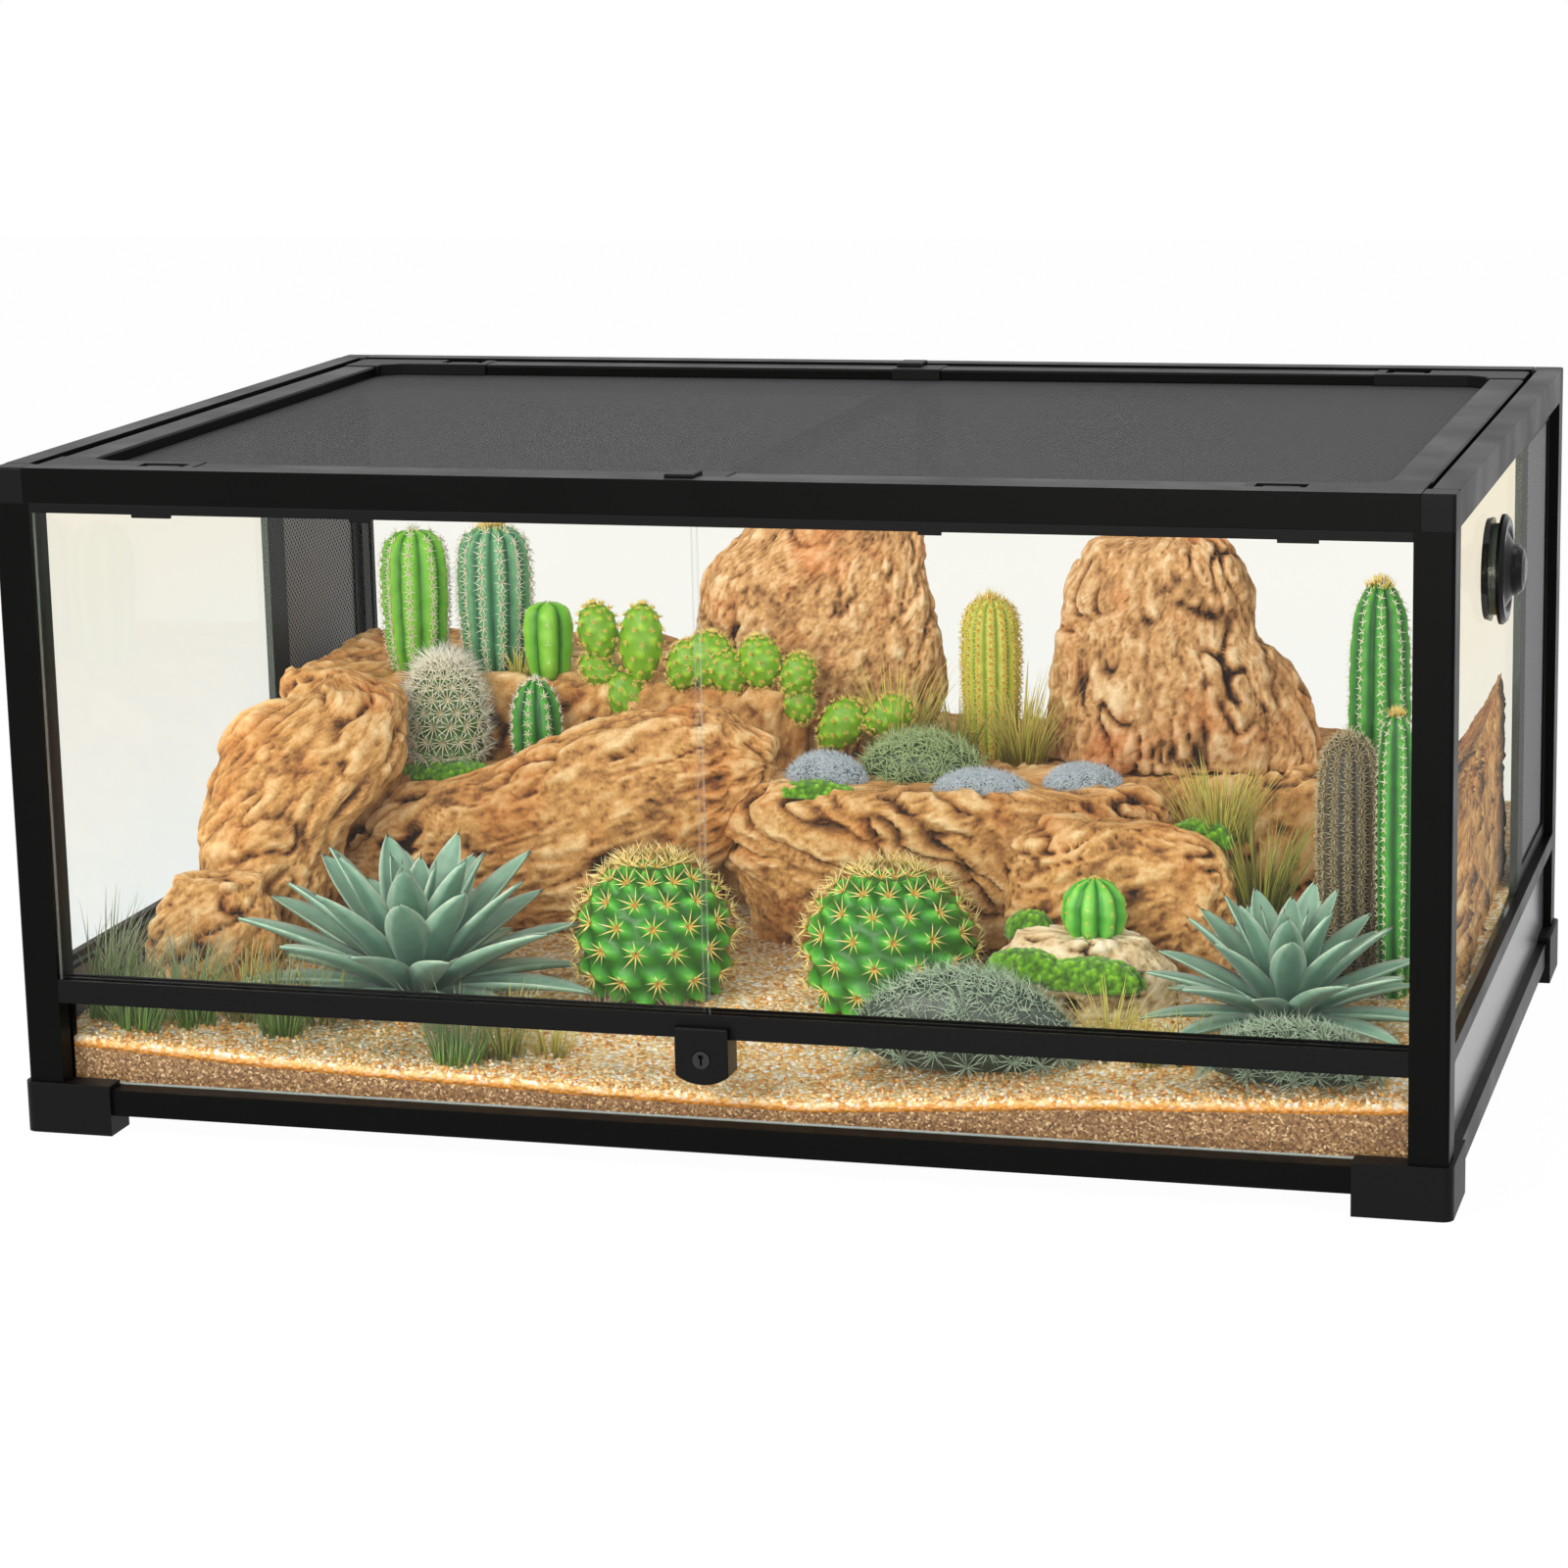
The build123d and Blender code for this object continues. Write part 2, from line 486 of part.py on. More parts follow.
def faceted(rings):
    """A closed solid of flat faces through flat rings of points, all of one count, in the tank's proportion."""
    rings = [[(x * ALONG, y * INWARD, z) for x, y, z in ring] for ring in rings]
    faces = [flat(*rings[0]), flat(*rings[-1])]
    for low, high in zip(rings, rings[1:]):
        for a, b, c, d in zip(low, low[1:] + low[:1], high[1:] + high[:1], high):
            faces += [flat(a, b, c), flat(a, c, d)]
    return Solid(Shell(faces))


def stacked(layers, count, wobble=0.0, ribs=0, rib_depth=0.0):
    """A form that stands up: uneven rings, each layer (z, cx, cy, rx, ry)."""
    rings = []
    for n, (z, cx, cy, rx, ry) in enumerate(layers):
        outline = ring_of(cx, cy, rx, ry, count, wobble, 0.4 * n + wobble, ribs, rib_depth)
        rings.append([(x, y, z) for x, y in outline])
    return faceted(rings)


def standing_rock(layers, wobble=0.05, count=14):
    """A rock that stands up, each layer (z, left, right, cy, ry)."""
    return stacked([(z, (left + right) / 2, cy, (right - left) / 2, ry) for z, left, right, cy, ry in layers],
                   count, wobble)


def lying_rock(sections, wobble=0.05, count=12):
    """A rock that lies along X, each section (x, low, high, cy, ry)."""
    rings = []
    for n, (x, low, high, cy, ry) in enumerate(sections):
        outline = ring_of(cy, (low + high) / 2, ry, (high - low) / 2, count, wobble, 0.4 * n)
        rings.append([(x, y, z) for y, z in outline])
    return faceted(rings)


def column(x, y, foot, top, radius, ribs):
    """Ribbed cactus with a domed top."""
    z0 = foot
    height = top - foot
    shape = ((0.0, 0.80), (0.12, 0.96), (0.55, 1.0), (0.82, 0.90), (0.94, 0.62), (1.0, 0.22))
    layers = [(z0 + height * t, x, y, radius * r, radius * r) for t, r in shape]
    return stacked(layers, ribs * 2, ribs=ribs, rib_depth=0.14)


def ball(x, y, foot, top, radius, ribs):
    """Barrel cactus: a flattened ribbed ball."""
    height = top - foot
    shape = ((0.0, 0.52), (0.18, 0.86), (0.45, 1.0), (0.72, 0.90), (0.90, 0.58), (1.0, 0.18))
    layers = [(foot + height * t, x, y, radius * r, radius * r) for t, r in shape]
    return stacked(layers, ribs * 2, ribs=ribs, rib_depth=0.10)


def mound(x, y, foot, top, rx, ry):
    """Low cushion plant or moss pad, flat underneath."""
    height = top - foot
    shape = ((0.0, 0.94), (0.35, 1.0), (0.75, 0.78), (1.0, 0.30))
    return stacked([(foot + height * t, x, y, rx * r, ry * r) for t, r in shape], 10, 0.04)


def pad(x, y, z, rx, rz, thick, lean=0.0, swing=0.0):
    """One flat joint of a prickly pear, standing on its narrow end at (x, y, z)."""
    outline = []
    for i in range(12):
        a = 2 * pi * i / 12
        outline.append((rx * (1 + 0.12 * sin(a)) * cos(a), rz * (1 + sin(a)) + 0.2))
    face = make_face(Polyline(*outline, close=True))
    half = extrude(face, amount=thick / 2, taper=18)
    joint = half + mirrored(half, Plane.XY)
    return Pos(x * ALONG, y * INWARD, z) * Rot(0, lean, swing) * Rot(90, 0, 0) * joint


def leaf(length, width, thick, rise, bend):
    """Agave leaf along +X: keeled, widest before the middle, ending in a point."""
    stations = ((0.0, 0.45), (0.38, 1.0), (0.72, 0.72), (1.0, 0.06))
    rings = []
    for share, w in stations:
        x = length * share * cos(rise)
        z = length * share * sin(rise) + bend * share * share
        half, keel = width * w / 2, thick * (1.1 - share) / 2
        rings.append([(x, -half, z + keel), (x, 0, z - keel), (x, half, z + keel)])
    return faceted(rings)


def agave(spread, height):
    """Rosette: whorls of leaves round a short stem, the inner ones steeper and shorter."""
    leaves = []
    whorls = ((8, 0.96, 0.17, 0.12), (8, 0.92, 0.50, 0.40), (7, 0.86, 0.90, 0.75), (5, 0.75, 1.25, 0.2))
    for n, (count, reach, rise, turn) in enumerate(whorls):
        blade = leaf(spread * reach, spread * 0.24, 7.0, rise, height * (0.10 - 0.06 * n))
        leaves += [Pos(0, 0, 6 + 4 * n) * Rot(0, 0, 360 * (i + turn) / count) * blade for i in range(count)]
    stem = stacked([(0, 0, 0, spread * 0.15, spread * 0.15), (18, 0, 0, spread * 0.15, spread * 0.15)], 12)
    return stem + leaves


def planted(kind, x, y, top, *sizes):
    """A plant that grows out of the gravel, cut off where it meets it."""
    return kind(x, y, ground_height(x * ALONG, y * INWARD) - 6, top, *sizes) - GROUND


GROUND = ground_body(0)


def main():
    os.makedirs("parts", exist_ok=True)

    # frame, grooved for its panes
    base, front_pane, back_pane, side_pane, panel = make_panes()
    vent, vent_mesh = make_vent()
    rail_front, rail_back, rail_side = make_bottom_rails()
    post_front = make_post(POST_WIDTH, POST_INSIDE_X)
    post_back = mirrored(make_post(BACK_POST_WIDTH, BACK_POST_INSIDE_X), Plane.XZ)
    foot_front = make_foot((rail_front, rail_side), (post_front,), FRONT_PANE_OUT - FOOT_AIR)
    foot_back = make_foot((rail_front, rail_side), (mirrored(post_back, Plane.XZ),),
                          -WALL_IN_Y - PANE - FOOT_AIR)
    foot_back = mirrored(foot_back, Plane.XZ)
    top_front, top_back, top_side, top_corner = make_top_rails()
    track, head_track = make_tracks()
    sill = block(WALL_IN_X, FRAME_X, -POST_INSIDE_Y, POST_INSIDE_Y, SIDE_SILL, SILL_TOP)
    rails, connectors, joiners, clips, brace, lid_mesh, latches, slots = make_lid()
    housing, cylinder, bolt, bolt_slots = make_lock()
    ring, cap, hub = make_port()

    def grooved(piece, *seated):
        for pane in seated:
            piece -= room(pane)
        return piece

    rail_front = grooved(rail_front, base, front_pane)
    rail_back = grooved(rail_back, base, back_pane)
    rail_side = grooved(rail_side, base)
    post_front = grooved(post_front, front_pane, side_pane, panel)
    post_back = grooved(post_back, back_pane, panel)
    top_side = grooved(top_side, side_pane)
    top_back = grooved(top_back, back_pane)
    sill = grooved(sill, side_pane, panel)
    track = grooved(track, front_pane)
    vent = grooved(vent, side_pane)
    for slot in slots[:2]:
        top_front -= slot
    for slot in slots[2:]:
        top_back -= slot
    for slot in bolt_slots:
        track -= slot
    port_hole = Pos(WALL_OUT_X, PORT_Y, PORT_Z) * Rot(0, 90, 0) * Cylinder(hub + FIT, 40)
    stay = block(-STAY_WIDTH / 2, STAY_WIDTH / 2, WALL_IN_Y - STAY_THICK, WALL_IN_Y,
                 TOP_RAIL - STAY_LENGTH, TOP_RAIL)

    feet = [foot_front, foot_back]
    save("feet", *feet, *[mirrored(foot, Plane.YZ) for foot in feet])
    save("bottom_long_rails", rail_front, rail_back)
    save("bottom_side_rails", rail_side, mirrored(rail_side, Plane.YZ))
    save("front_posts", post_front, mirrored(post_front, Plane.YZ))
    save("back_posts", post_back, mirrored(post_back, Plane.YZ))
    save("side_sill_rails", sill, mirrored(sill, Plane.YZ))
    save("top_rail_front", top_front)
    save("top_rail_back", top_back)
    save("top_side_rails", top_side, mirrored(top_side, Plane.YZ))
    top_corner_back = grooved(mirrored(top_corner, Plane.XZ), back_pane)
    corners = [top_corner, top_corner_back]
    save("top_corner_blocks", *corners, *[mirrored(c, Plane.YZ) for c in corners])
    save("door_track_lower", track)
    save("door_track_upper", head_track)
    save("base_pane", base)
    save("front_fixed_pane", front_pane)
    save("back_glass", back_pane)
    save("side_glass_right", side_pane - port_hole)
    save("side_glass_left", mirrored(side_pane, Plane.YZ))
    save("side_base_panels", panel, mirrored(panel, Plane.YZ))
    save("vent_frames", vent, mirrored(vent, Plane.YZ))
    save("vent_meshes", vent_mesh, mirrored(vent_mesh, Plane.YZ))
    save("back_stay", stay)

    left_door, right_door = make_doors()
    save("door_glass_left", left_door)
    save("door_glass_right", right_door)
    save("lock_housing", housing)
    save("lock_cylinder", cylinder)
    save("lock_bolt", bolt)
    save("port_ring", ring)
    save("port_cap", cap)

    for name, pair in rails.items():
        save(f"lid_{name}_rails", *pair)
    save("lid_corner_connectors", *connectors)
    save("lid_joiners", *joiners)
    save("lid_clips", *clips)
    save("lid_brace", brace)
    save("lid_mesh", lid_mesh)
    for name, latch in zip(("front_left", "front_right", "back_left", "back_right"), latches):
        save(f"latch_{name}", latch)

    make_landscape()


def make_landscape():
    sand, gravel = make_ground()
    save("sand_bed", sand)
    save("gravel_layer", gravel)

    # terrace of stacked rock behind the boulders, in three steps
    side, back = WALL_IN_X - TERRACE_SIDE, WALL_IN_Y - TERRACE_BACK
    front, middle = 60 * INWARD, -40 * ALONG
    steps = (block(-side, middle, front, back, 60, TERRACE_LEFT),
             block(-side, -196 * ALONG, 4 * INWARD, front, 60, TERRACE_LOW),
             block(middle, side - 45, front, back, 60, TERRACE_RIGHT))
    save("rock_terrace", (steps[0] + steps[1] + steps[2]) - GROUND)

    def bedded(rock, *neighbours):
        """A rock cut off where it meets the gravel and its neighbours, clear of the terrace."""
        rock -= GROUND
        for step in steps:
            rock -= room(step)
        for neighbour in neighbours:
            rock -= neighbour
        return rock

    big_left = bedded(standing_rock((
        (55, -430, -338, -84, 40), (110, -429, -332, -80, 44), (152, -427, -324, -68, 46),
        (182, -425, -297, -52, 44), (214, -413, -292, -36, 40), (236, -368, -300, -24, 30),
        (250, -352, -332, -20, 12))))
    ledge = bedded(standing_rock((
        (60, -58, 200, 12, 40), (112, -70, 214, 10, 42), (150, -84, 224, 8, 46),
        (170, -86, 226, 8, 48), (LEDGE_TOP, -68, 212, 10, 44)), 0.04))
    log = bedded(lying_rock((
        (-340, 98, 128, -16, 12), (-300, 62, 168, -14, 24), (-231, 66, 188, -12, 34),
        (-182, 74, 212, -10, 36), (-124, 100, 229, -8, 34), (-68, 132, 231, -8, 28),
        (-40, 180, 210, -6, 14))), big_left, ledge)
    save("rock_big_left", big_left)
    save("rock_ledge", ledge)
    save("rock_log", log)
    save("rock_tall_centre", standing_rock((
        (TERRACE_RIGHT, -146, 33, 136, 40), (214, -143, 42, 136, 40), (246, -138, 43, 136, 38),
        (274, -130, 39, 136, 35), (302, -123, 34, 136, 32), (334, -92, 31, 136, 26),
        (352, -70, 20, 136, 18)), 0.04) - room(steps[0]))
    save("rock_tall_right", standing_rock((
        (TERRACE_RIGHT, 118, 308, 120, 46), (214, 122, 302, 120, 46), (246, 127, 290, 120, 42),
        (266, 132, 268, 120, 38), (304, 142, 266, 120, 34), (328, 154, 253, 120, 28),
        (340, 180, 236, 120, 16)), 0.04))
    low_left = bedded(standing_rock(((40, -438, -340, -152, 32), (96, -436, -342, -150, 30),
                                     (132, -414, -356, -146, 20)), count=10), big_left)
    lower_right = bedded(standing_rock(((60, 136, 284, -66, 26), (120, 134, 286, -66, 28),
                                        (160, 140, 274, -64, 24), (176, 160, 246, -62, 14)), count=10), ledge)
    pale = bedded(standing_rock(((50, 140, 258, -126, 28), (98, 142, 256, -126, 27),
                                 (LOWER_TOP, 156, 240, -124, 20)), count=10))
    save("rocks_loose", low_left, lower_right, pale)
    save("rock_slope_right", bedded(stacked(
        ((60, 412, 30, 18, 120), (150, 415, 60, 16, 90), (240, 418, 110, 12, 60), (270, 420, 130, 8, 40)),
        10, 0.03)))

    save("cactus_columns",
         column(-327, 92, TERRACE_LEFT, 334, 25, 9), column(-272, 104, TERRACE_LEFT, 342, 27, 10),
         column(-226, 84, TERRACE_LEFT, 286, 18, 6), column(86, 112, TERRACE_RIGHT, 295, 20, 10))
    save("cactus_tall_right",
         planted(column, 372, -18, 338, 20, 8), planted(column, 360, -68, 246, 20, 10),
         planted(column, 394, -100, 268, 12, 7))
    save("prickly_pear",
         pad(-190, 72, TERRACE_LEFT, 16, 16, 12, 12, 10), pad(-156, 72, TERRACE_LEFT, 18, 28, 12, -8, -6),
         pad(-112, 70, TERRACE_LEFT, 20, 17, 12, 10, 8), pad(-68, 70, TERRACE_LEFT, 18, 16, 12, -10, -10),
         pad(-20, 72, TERRACE_RIGHT, 20, 30, 12, 4, 4))
    save("barrel_cacti", planted(ball, -90, -114, 152, 51, 12), planted(ball, 70, -114, 152, 56, 12))
    save("cactus_small",
         ball(-286, 33, TERRACE_LOW, 252, 26, 9), ball(-222, 41, TERRACE_LOW, 238, 18, 8),
         ball(206, -122, LOWER_TOP, 154, 19, 7))
    # the rosettes sit a little way into the gravel and are cut off flush with it
    rosette = agave(118, 100)
    left = (-236 * ALONG, -172 * INWARD)
    right = (336 * ALONG, -168 * INWARD)
    save("agave_left", Pos(*left, ground_height(*left) + 1) * rosette - GROUND)
    save("agave_right", Pos(*right, ground_height(*right) + 1) * Rot(0, 0, 20) * scale(rosette, 0.76) - GROUND)
    save("cushion_plants",
         mound(58, 26, LEDGE_TOP, 222, 44, 20), mound(-2, -2, LEDGE_TOP, 206, 28, 13),
         mound(108, -12, LEDGE_TOP, 198, 32, 11), mound(172, 10, LEDGE_TOP, 200, 26, 14),
         planted(mound, 146, -238, 134, 84, 34), planted(mound, 356, -258, 110, 64, 20))
    save("moss_pads", planted(mound, 168, -188, 92, 34, 12))


main()
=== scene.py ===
"""The looks of a framed glass terrarium with a desert landscape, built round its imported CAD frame."""
import random
from math import cos, pi, radians, sin, sqrt

import bpy
from mathutils import Matrix, Vector, noise


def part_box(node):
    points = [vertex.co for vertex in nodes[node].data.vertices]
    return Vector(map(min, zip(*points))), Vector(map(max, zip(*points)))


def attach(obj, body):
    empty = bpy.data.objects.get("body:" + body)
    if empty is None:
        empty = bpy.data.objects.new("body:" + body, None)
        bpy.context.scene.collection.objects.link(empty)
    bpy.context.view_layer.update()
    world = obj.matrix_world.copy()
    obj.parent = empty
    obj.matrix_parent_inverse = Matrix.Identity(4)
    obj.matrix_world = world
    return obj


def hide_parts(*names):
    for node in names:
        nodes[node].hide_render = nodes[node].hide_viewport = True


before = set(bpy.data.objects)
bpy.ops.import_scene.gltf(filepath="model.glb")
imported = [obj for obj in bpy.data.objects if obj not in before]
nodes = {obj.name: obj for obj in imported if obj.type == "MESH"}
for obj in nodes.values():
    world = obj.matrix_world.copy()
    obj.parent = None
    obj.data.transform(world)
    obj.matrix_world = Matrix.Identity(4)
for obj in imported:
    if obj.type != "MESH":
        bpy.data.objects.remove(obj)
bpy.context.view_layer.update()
MM = 0.001


# ---------------------------------------------------------------- rails and posts
# The tank's skeleton is extruded aluminium, sawn to length, powder coated black and joined by
# moulded corners. The coat flows out in the oven to a semi-gloss skin with a faint orange peel.
def linear(hex_colour):
    """An sRGB hex colour as the linear RGBA that a shader takes."""
    shares = [int(hex_colour[i:i + 2], 16) / 255 for i in (1, 3, 5)]
    return [s / 12.92 if s <= 0.04045 else ((s + 0.055) / 1.055) ** 2.4 for s in shares] + [1.0]


def new_finish(name):
    """An empty material, ready for its nodes."""
    finish = bpy.data.materials.new(name)
    finish.use_nodes = True
    finish.node_tree.nodes.clear()
    return finish


def add(finish, kind, inputs=None, stops=(), **settings):
    """Adds one node: an input takes a value or another node's output, stops are a ramp's colours."""
    tree = finish.node_tree
    node = tree.nodes.new("ShaderNode" + kind)
    for name, value in settings.items():
        setattr(node, name, value)
    for name, value in (inputs or {}).items():
        if isinstance(value, bpy.types.NodeSocket):
            tree.links.new(value, node.inputs[name])
        else:
            node.inputs[name].default_value = value
    for i, (place, colour) in enumerate(stops):
        marks = node.color_ramp.elements
        mark = marks[i] if i < 2 else marks.new(place)
        mark.position, mark.color = place, linear(colour)
    return node


def paint(finish, *names):
    """Gives CAD nodes their finish."""
    for name in names:
        for place in nodes[name].material_slots:
            place.material = finish


# powder coat: a hard dielectric skin, so its highlights are white and a little soft
ORANGE_PEEL = 1.6 * MM      # real peel is about 0.8 mm, drawn coarser to show
powder_coat = new_finish("black_powder_coat")
where = add(powder_coat, "TexCoord")
peel = add(powder_coat, "TexNoise", {"Vector": where.outputs["Object"], "Scale": 1 / ORANGE_PEEL,
                                     "Detail": 2})
soft_edge = add(powder_coat, "Bevel", {"Radius": 0.7 * MM}, samples=4)
peel_bump = add(powder_coat, "Bump", {"Height": peel.outputs["Fac"], "Strength": 0.12, "Distance": 0.2 * MM,
                                      "Normal": soft_edge.outputs["Normal"]})
handling = add(powder_coat, "TexNoise", {"Vector": where.outputs["Object"], "Scale": 1 / (60 * MM),
                                         "Detail": 3})
rubbed = add(powder_coat, "MapRange", {"Value": handling.outputs["Fac"], "From Min": 0.3, "From Max": 0.7,
                                       "To Min": 0.30, "To Max": 0.40})
skin_of_paint = add(powder_coat, "BsdfPrincipled", {
    "Base Color": linear("#060606"), "Roughness": rubbed.outputs["Result"], "Specular IOR Level": 0.05,
    "Normal": peel_bump.outputs["Normal"]})
add(powder_coat, "OutputMaterial", {"Surface": skin_of_paint.outputs[0]})
paint(powder_coat, "bottom_long_rails", "bottom_side_rails", "front_posts", "back_posts", "side_sill_rails",
      "top_rail_front", "top_rail_back", "top_side_rails", "lid_front_rails", "lid_back_rails",
      "lid_side_rails", "lid_brace", "back_stay")


# ---------------------------------------------------------------- feet, corners, tracks and latches
# Feet, corner blocks, door tracks, vent frames, lid connectors and latches are injection-moulded
# black ABS, pressed or clipped onto the rails. The mould was spark eroded to a fine satin grain.
MOULD_GRAIN = 1.2 * MM      # real grain is about 0.3 mm, drawn coarser to show
moulded_abs = new_finish("black_moulded_abs")
where = add(moulded_abs, "TexCoord")
grain = add(moulded_abs, "TexNoise", {"Vector": where.outputs["Object"], "Scale": 1 / MOULD_GRAIN,
                                      "Detail": 3})
soft_edge = add(moulded_abs, "Bevel", {"Radius": 0.8 * MM}, samples=4)
grain_bump = add(moulded_abs, "Bump", {"Height": grain.outputs["Fac"], "Strength": 0.2,
                                       "Distance": 0.2 * MM,
                                       "Normal": soft_edge.outputs["Normal"]})
satin = add(moulded_abs, "MapRange", {"Value": grain.outputs["Fac"], "To Min": 0.36, "To Max": 0.52})
plastic = add(moulded_abs, "BsdfPrincipled", {
    "Base Color": linear("#0a0a0b"), "Roughness": satin.outputs["Result"], "Specular IOR Level": 0.09,
    "Normal": grain_bump.outputs["Normal"]})
add(moulded_abs, "OutputMaterial", {"Surface": plastic.outputs[0]})
paint(moulded_abs, "feet", "top_corner_blocks", "door_track_lower", "door_track_upper", "vent_frames",
      "lid_corner_connectors", "lid_joiners", "lid_clips",
      "latch_front_left", "latch_front_right", "latch_back_left", "latch_back_right")


# ---------------------------------------------------------------- lower side panels
# Below the side glass a strip of smoke-grey sheet fills each wall beside the sand. It is extruded
# and polished, so it mirrors the room and reads as an even mid grey.
smoked_sheet = new_finish("smoke_grey_acrylic")
where = add(smoked_sheet, "TexCoord")
drawn = add(smoked_sheet, "Mapping", {"Vector": where.outputs["Object"], "Scale": (1, 0.05, 1)})
ripple = add(smoked_sheet, "TexNoise", {"Vector": drawn.outputs[0], "Scale": 1 / (9 * MM), "Detail": 1})
ripple_bump = add(smoked_sheet, "Bump", {"Height": ripple.outputs["Fac"], "Strength": 0.05,
                                         "Distance": 0.1 * MM})
sheet = add(smoked_sheet, "BsdfPrincipled", {
    "Base Color": linear("#58585b"), "Roughness": 0.2, "Specular IOR Level": 0.3, "Normal": ripple_bump.outputs["Normal"]})
add(smoked_sheet, "OutputMaterial", {"Surface": sheet.outputs[0]})
paint(smoked_sheet, "side_base_panels")


# ---------------------------------------------------------------- panes and doors
# The walls are 5 mm float glass, the doors 6 mm, cut, with arrised and polished edges. From the face
# float glass is almost clear with a mirror shine, and its edges are green from the iron in it.
def float_glass(name, tint_top, tint_low, faces_along, mirror=0.5, edge_colour="#7fa294", edge_solid=0.8):
    """Clear glass whose tint goes from low to top, with green edges where it doesn't face along an axis."""
    finish = new_finish(name)
    where = add(finish, "TexCoord")
    height = add(finish, "SeparateXYZ", {"Vector": where.outputs["Object"]})
    up = add(finish, "MapRange", {"Value": height.outputs["Z"], "From Min": 90 * MM, "From Max": 400 * MM})
    tint = add(finish, "ValToRGB", {"Fac": up.outputs["Result"]},
               stops=[(0.0, tint_low), (1.0, tint_top)])
    clear = add(finish, "BsdfTransparent", {"Color": tint.outputs["Color"]})
    shine = add(finish, "BsdfGlossy", {"Color": linear("#f4f8f6"), "Roughness": 0.02})
    gleam = add(finish, "Fresnel", {"IOR": 1.5})
    less = add(finish, "Math", {0: gleam.outputs["Fac"], 1: mirror}, operation="MULTIPLY")
    face = add(finish, "MixShader", {"Fac": less.outputs["Value"], 1: clear.outputs[0],
                                     2: shine.outputs[0]})
    edge = add(finish, "BsdfPrincipled", {"Base Color": linear(edge_colour), "Roughness": 0.12,
                                          "Alpha": edge_solid, "Specular IOR Level": 0.6})
    shape = add(finish, "NewGeometry")
    along = add(finish, "SeparateXYZ", {"Vector": shape.outputs["True Normal"]})
    size = add(finish, "Math", {0: along.outputs[faces_along]}, operation="ABSOLUTE")
    is_edge = add(finish, "Math", {0: size.outputs["Value"], 1: 0.7}, operation="LESS_THAN")
    glass = add(finish, "MixShader", {"Fac": is_edge.outputs["Value"], 1: face.outputs[0],
                                      2: edge.outputs[0]})
    add(finish, "OutputMaterial", {"Surface": glass.outputs[0]})
    return finish


paint(float_glass("float_glass_door", "#fdfefe", "#fdfefe", "Y", 0.22, "#c4c9c7", 0.3),
      "door_glass_left", "door_glass_right", "front_fixed_pane")
paint(float_glass("float_glass_back", "#fffdf8", "#fcfcfa", "Y", 0.12), "back_glass")
paint(float_glass("float_glass_side", "#fbf7ee", "#f9fbfa", "X", 0.06, "#4e5956"), "side_glass_left",
      "side_glass_right")
paint(float_glass("float_glass_floor", "#eef2f0", "#eef2f0", "Z"), "base_pane")


# ---------------------------------------------------------------- screens
# Lid and vents are closed by a steel wire screen, woven fine enough to hold crickets, dipped black
# and held in the rails. It dims what is behind it, and its weave shows as fine crossing threads.
def wire_screen(name, pitch, seen_axes, openness, wire_crest_highlight):
    """Woven wire over two axes; the wire is solid and the holes let the view through."""
    finish = new_finish(name)
    where = add(finish, "TexCoord")
    split = add(finish, "SeparateXYZ", {"Vector": where.outputs["Object"]})
    threads = []
    for way in (1, -1):
        turned = add(finish, "Math", {0: split.outputs[seen_axes[1]], 1: way}, operation="MULTIPLY")
        slant = add(finish, "Math", {0: split.outputs[seen_axes[0]], 1: turned.outputs[0]}, operation="ADD")
        wave = add(finish, "Math", {0: slant.outputs[0], 1: 2 * pi / (pitch * sqrt(2))},
                   operation="MULTIPLY")
        thread = add(finish, "Math", {0: wave.outputs[0]}, operation="SINE")
        threads.append(thread.outputs[0])
    higher = add(finish, "Math", {0: threads[0], 1: threads[1]}, operation="MAXIMUM")
    solid = add(finish, "MapRange", {"Value": higher.outputs[0], "From Min": -0.6, "From Max": 0.9,
                                     "To Min": 1 - openness, "To Max": 1.0})
    round_wire = add(finish, "Bump", {"Height": higher.outputs[0], "Strength": 0.6, "Distance": 0.4 * MM})
    # each wire is painted near black at its sides and in the holes and lighter on its crest, a painted
    # highlight along the wire
    thread = add(finish, "MapRange", {"Value": higher.outputs[0], "From Min": 0.1, "From Max": 0.95})
    painted_wire_shading = add(finish, "ValToRGB", {"Fac": thread.outputs["Result"]}, stops=[(0.0, "#0e0e0f"), (1.0,
                                                                                               wire_crest_highlight)])
    wire = add(finish, "BsdfPrincipled", {"Base Color": painted_wire_shading.outputs["Color"], "Roughness": 0.6,
                                          "Alpha": solid.outputs["Result"], "Specular IOR Level": 0.1,
                                          "Normal": round_wire.outputs["Normal"]})
    add(finish, "OutputMaterial", {"Surface": wire.outputs[0]})
    return finish


# real wires stand 1.3 mm apart; they are drawn 3.6 mm apart so that the weave shows
paint(wire_screen("black_wire_screen_lid", 3.6 * MM, ("X", "Y"), 0.2, "#3c3b3d"), "lid_mesh")
nodes["lid_mesh"].visible_shadow = False      # the real screen lets most of the light in
# the vent wire's crest is painted a pale grey, painted light on black wire
paint(wire_screen("black_wire_screen_vent", 3.6 * MM, ("Y", "Z"), 0.2, "#9a9a9c"), "vent_meshes")


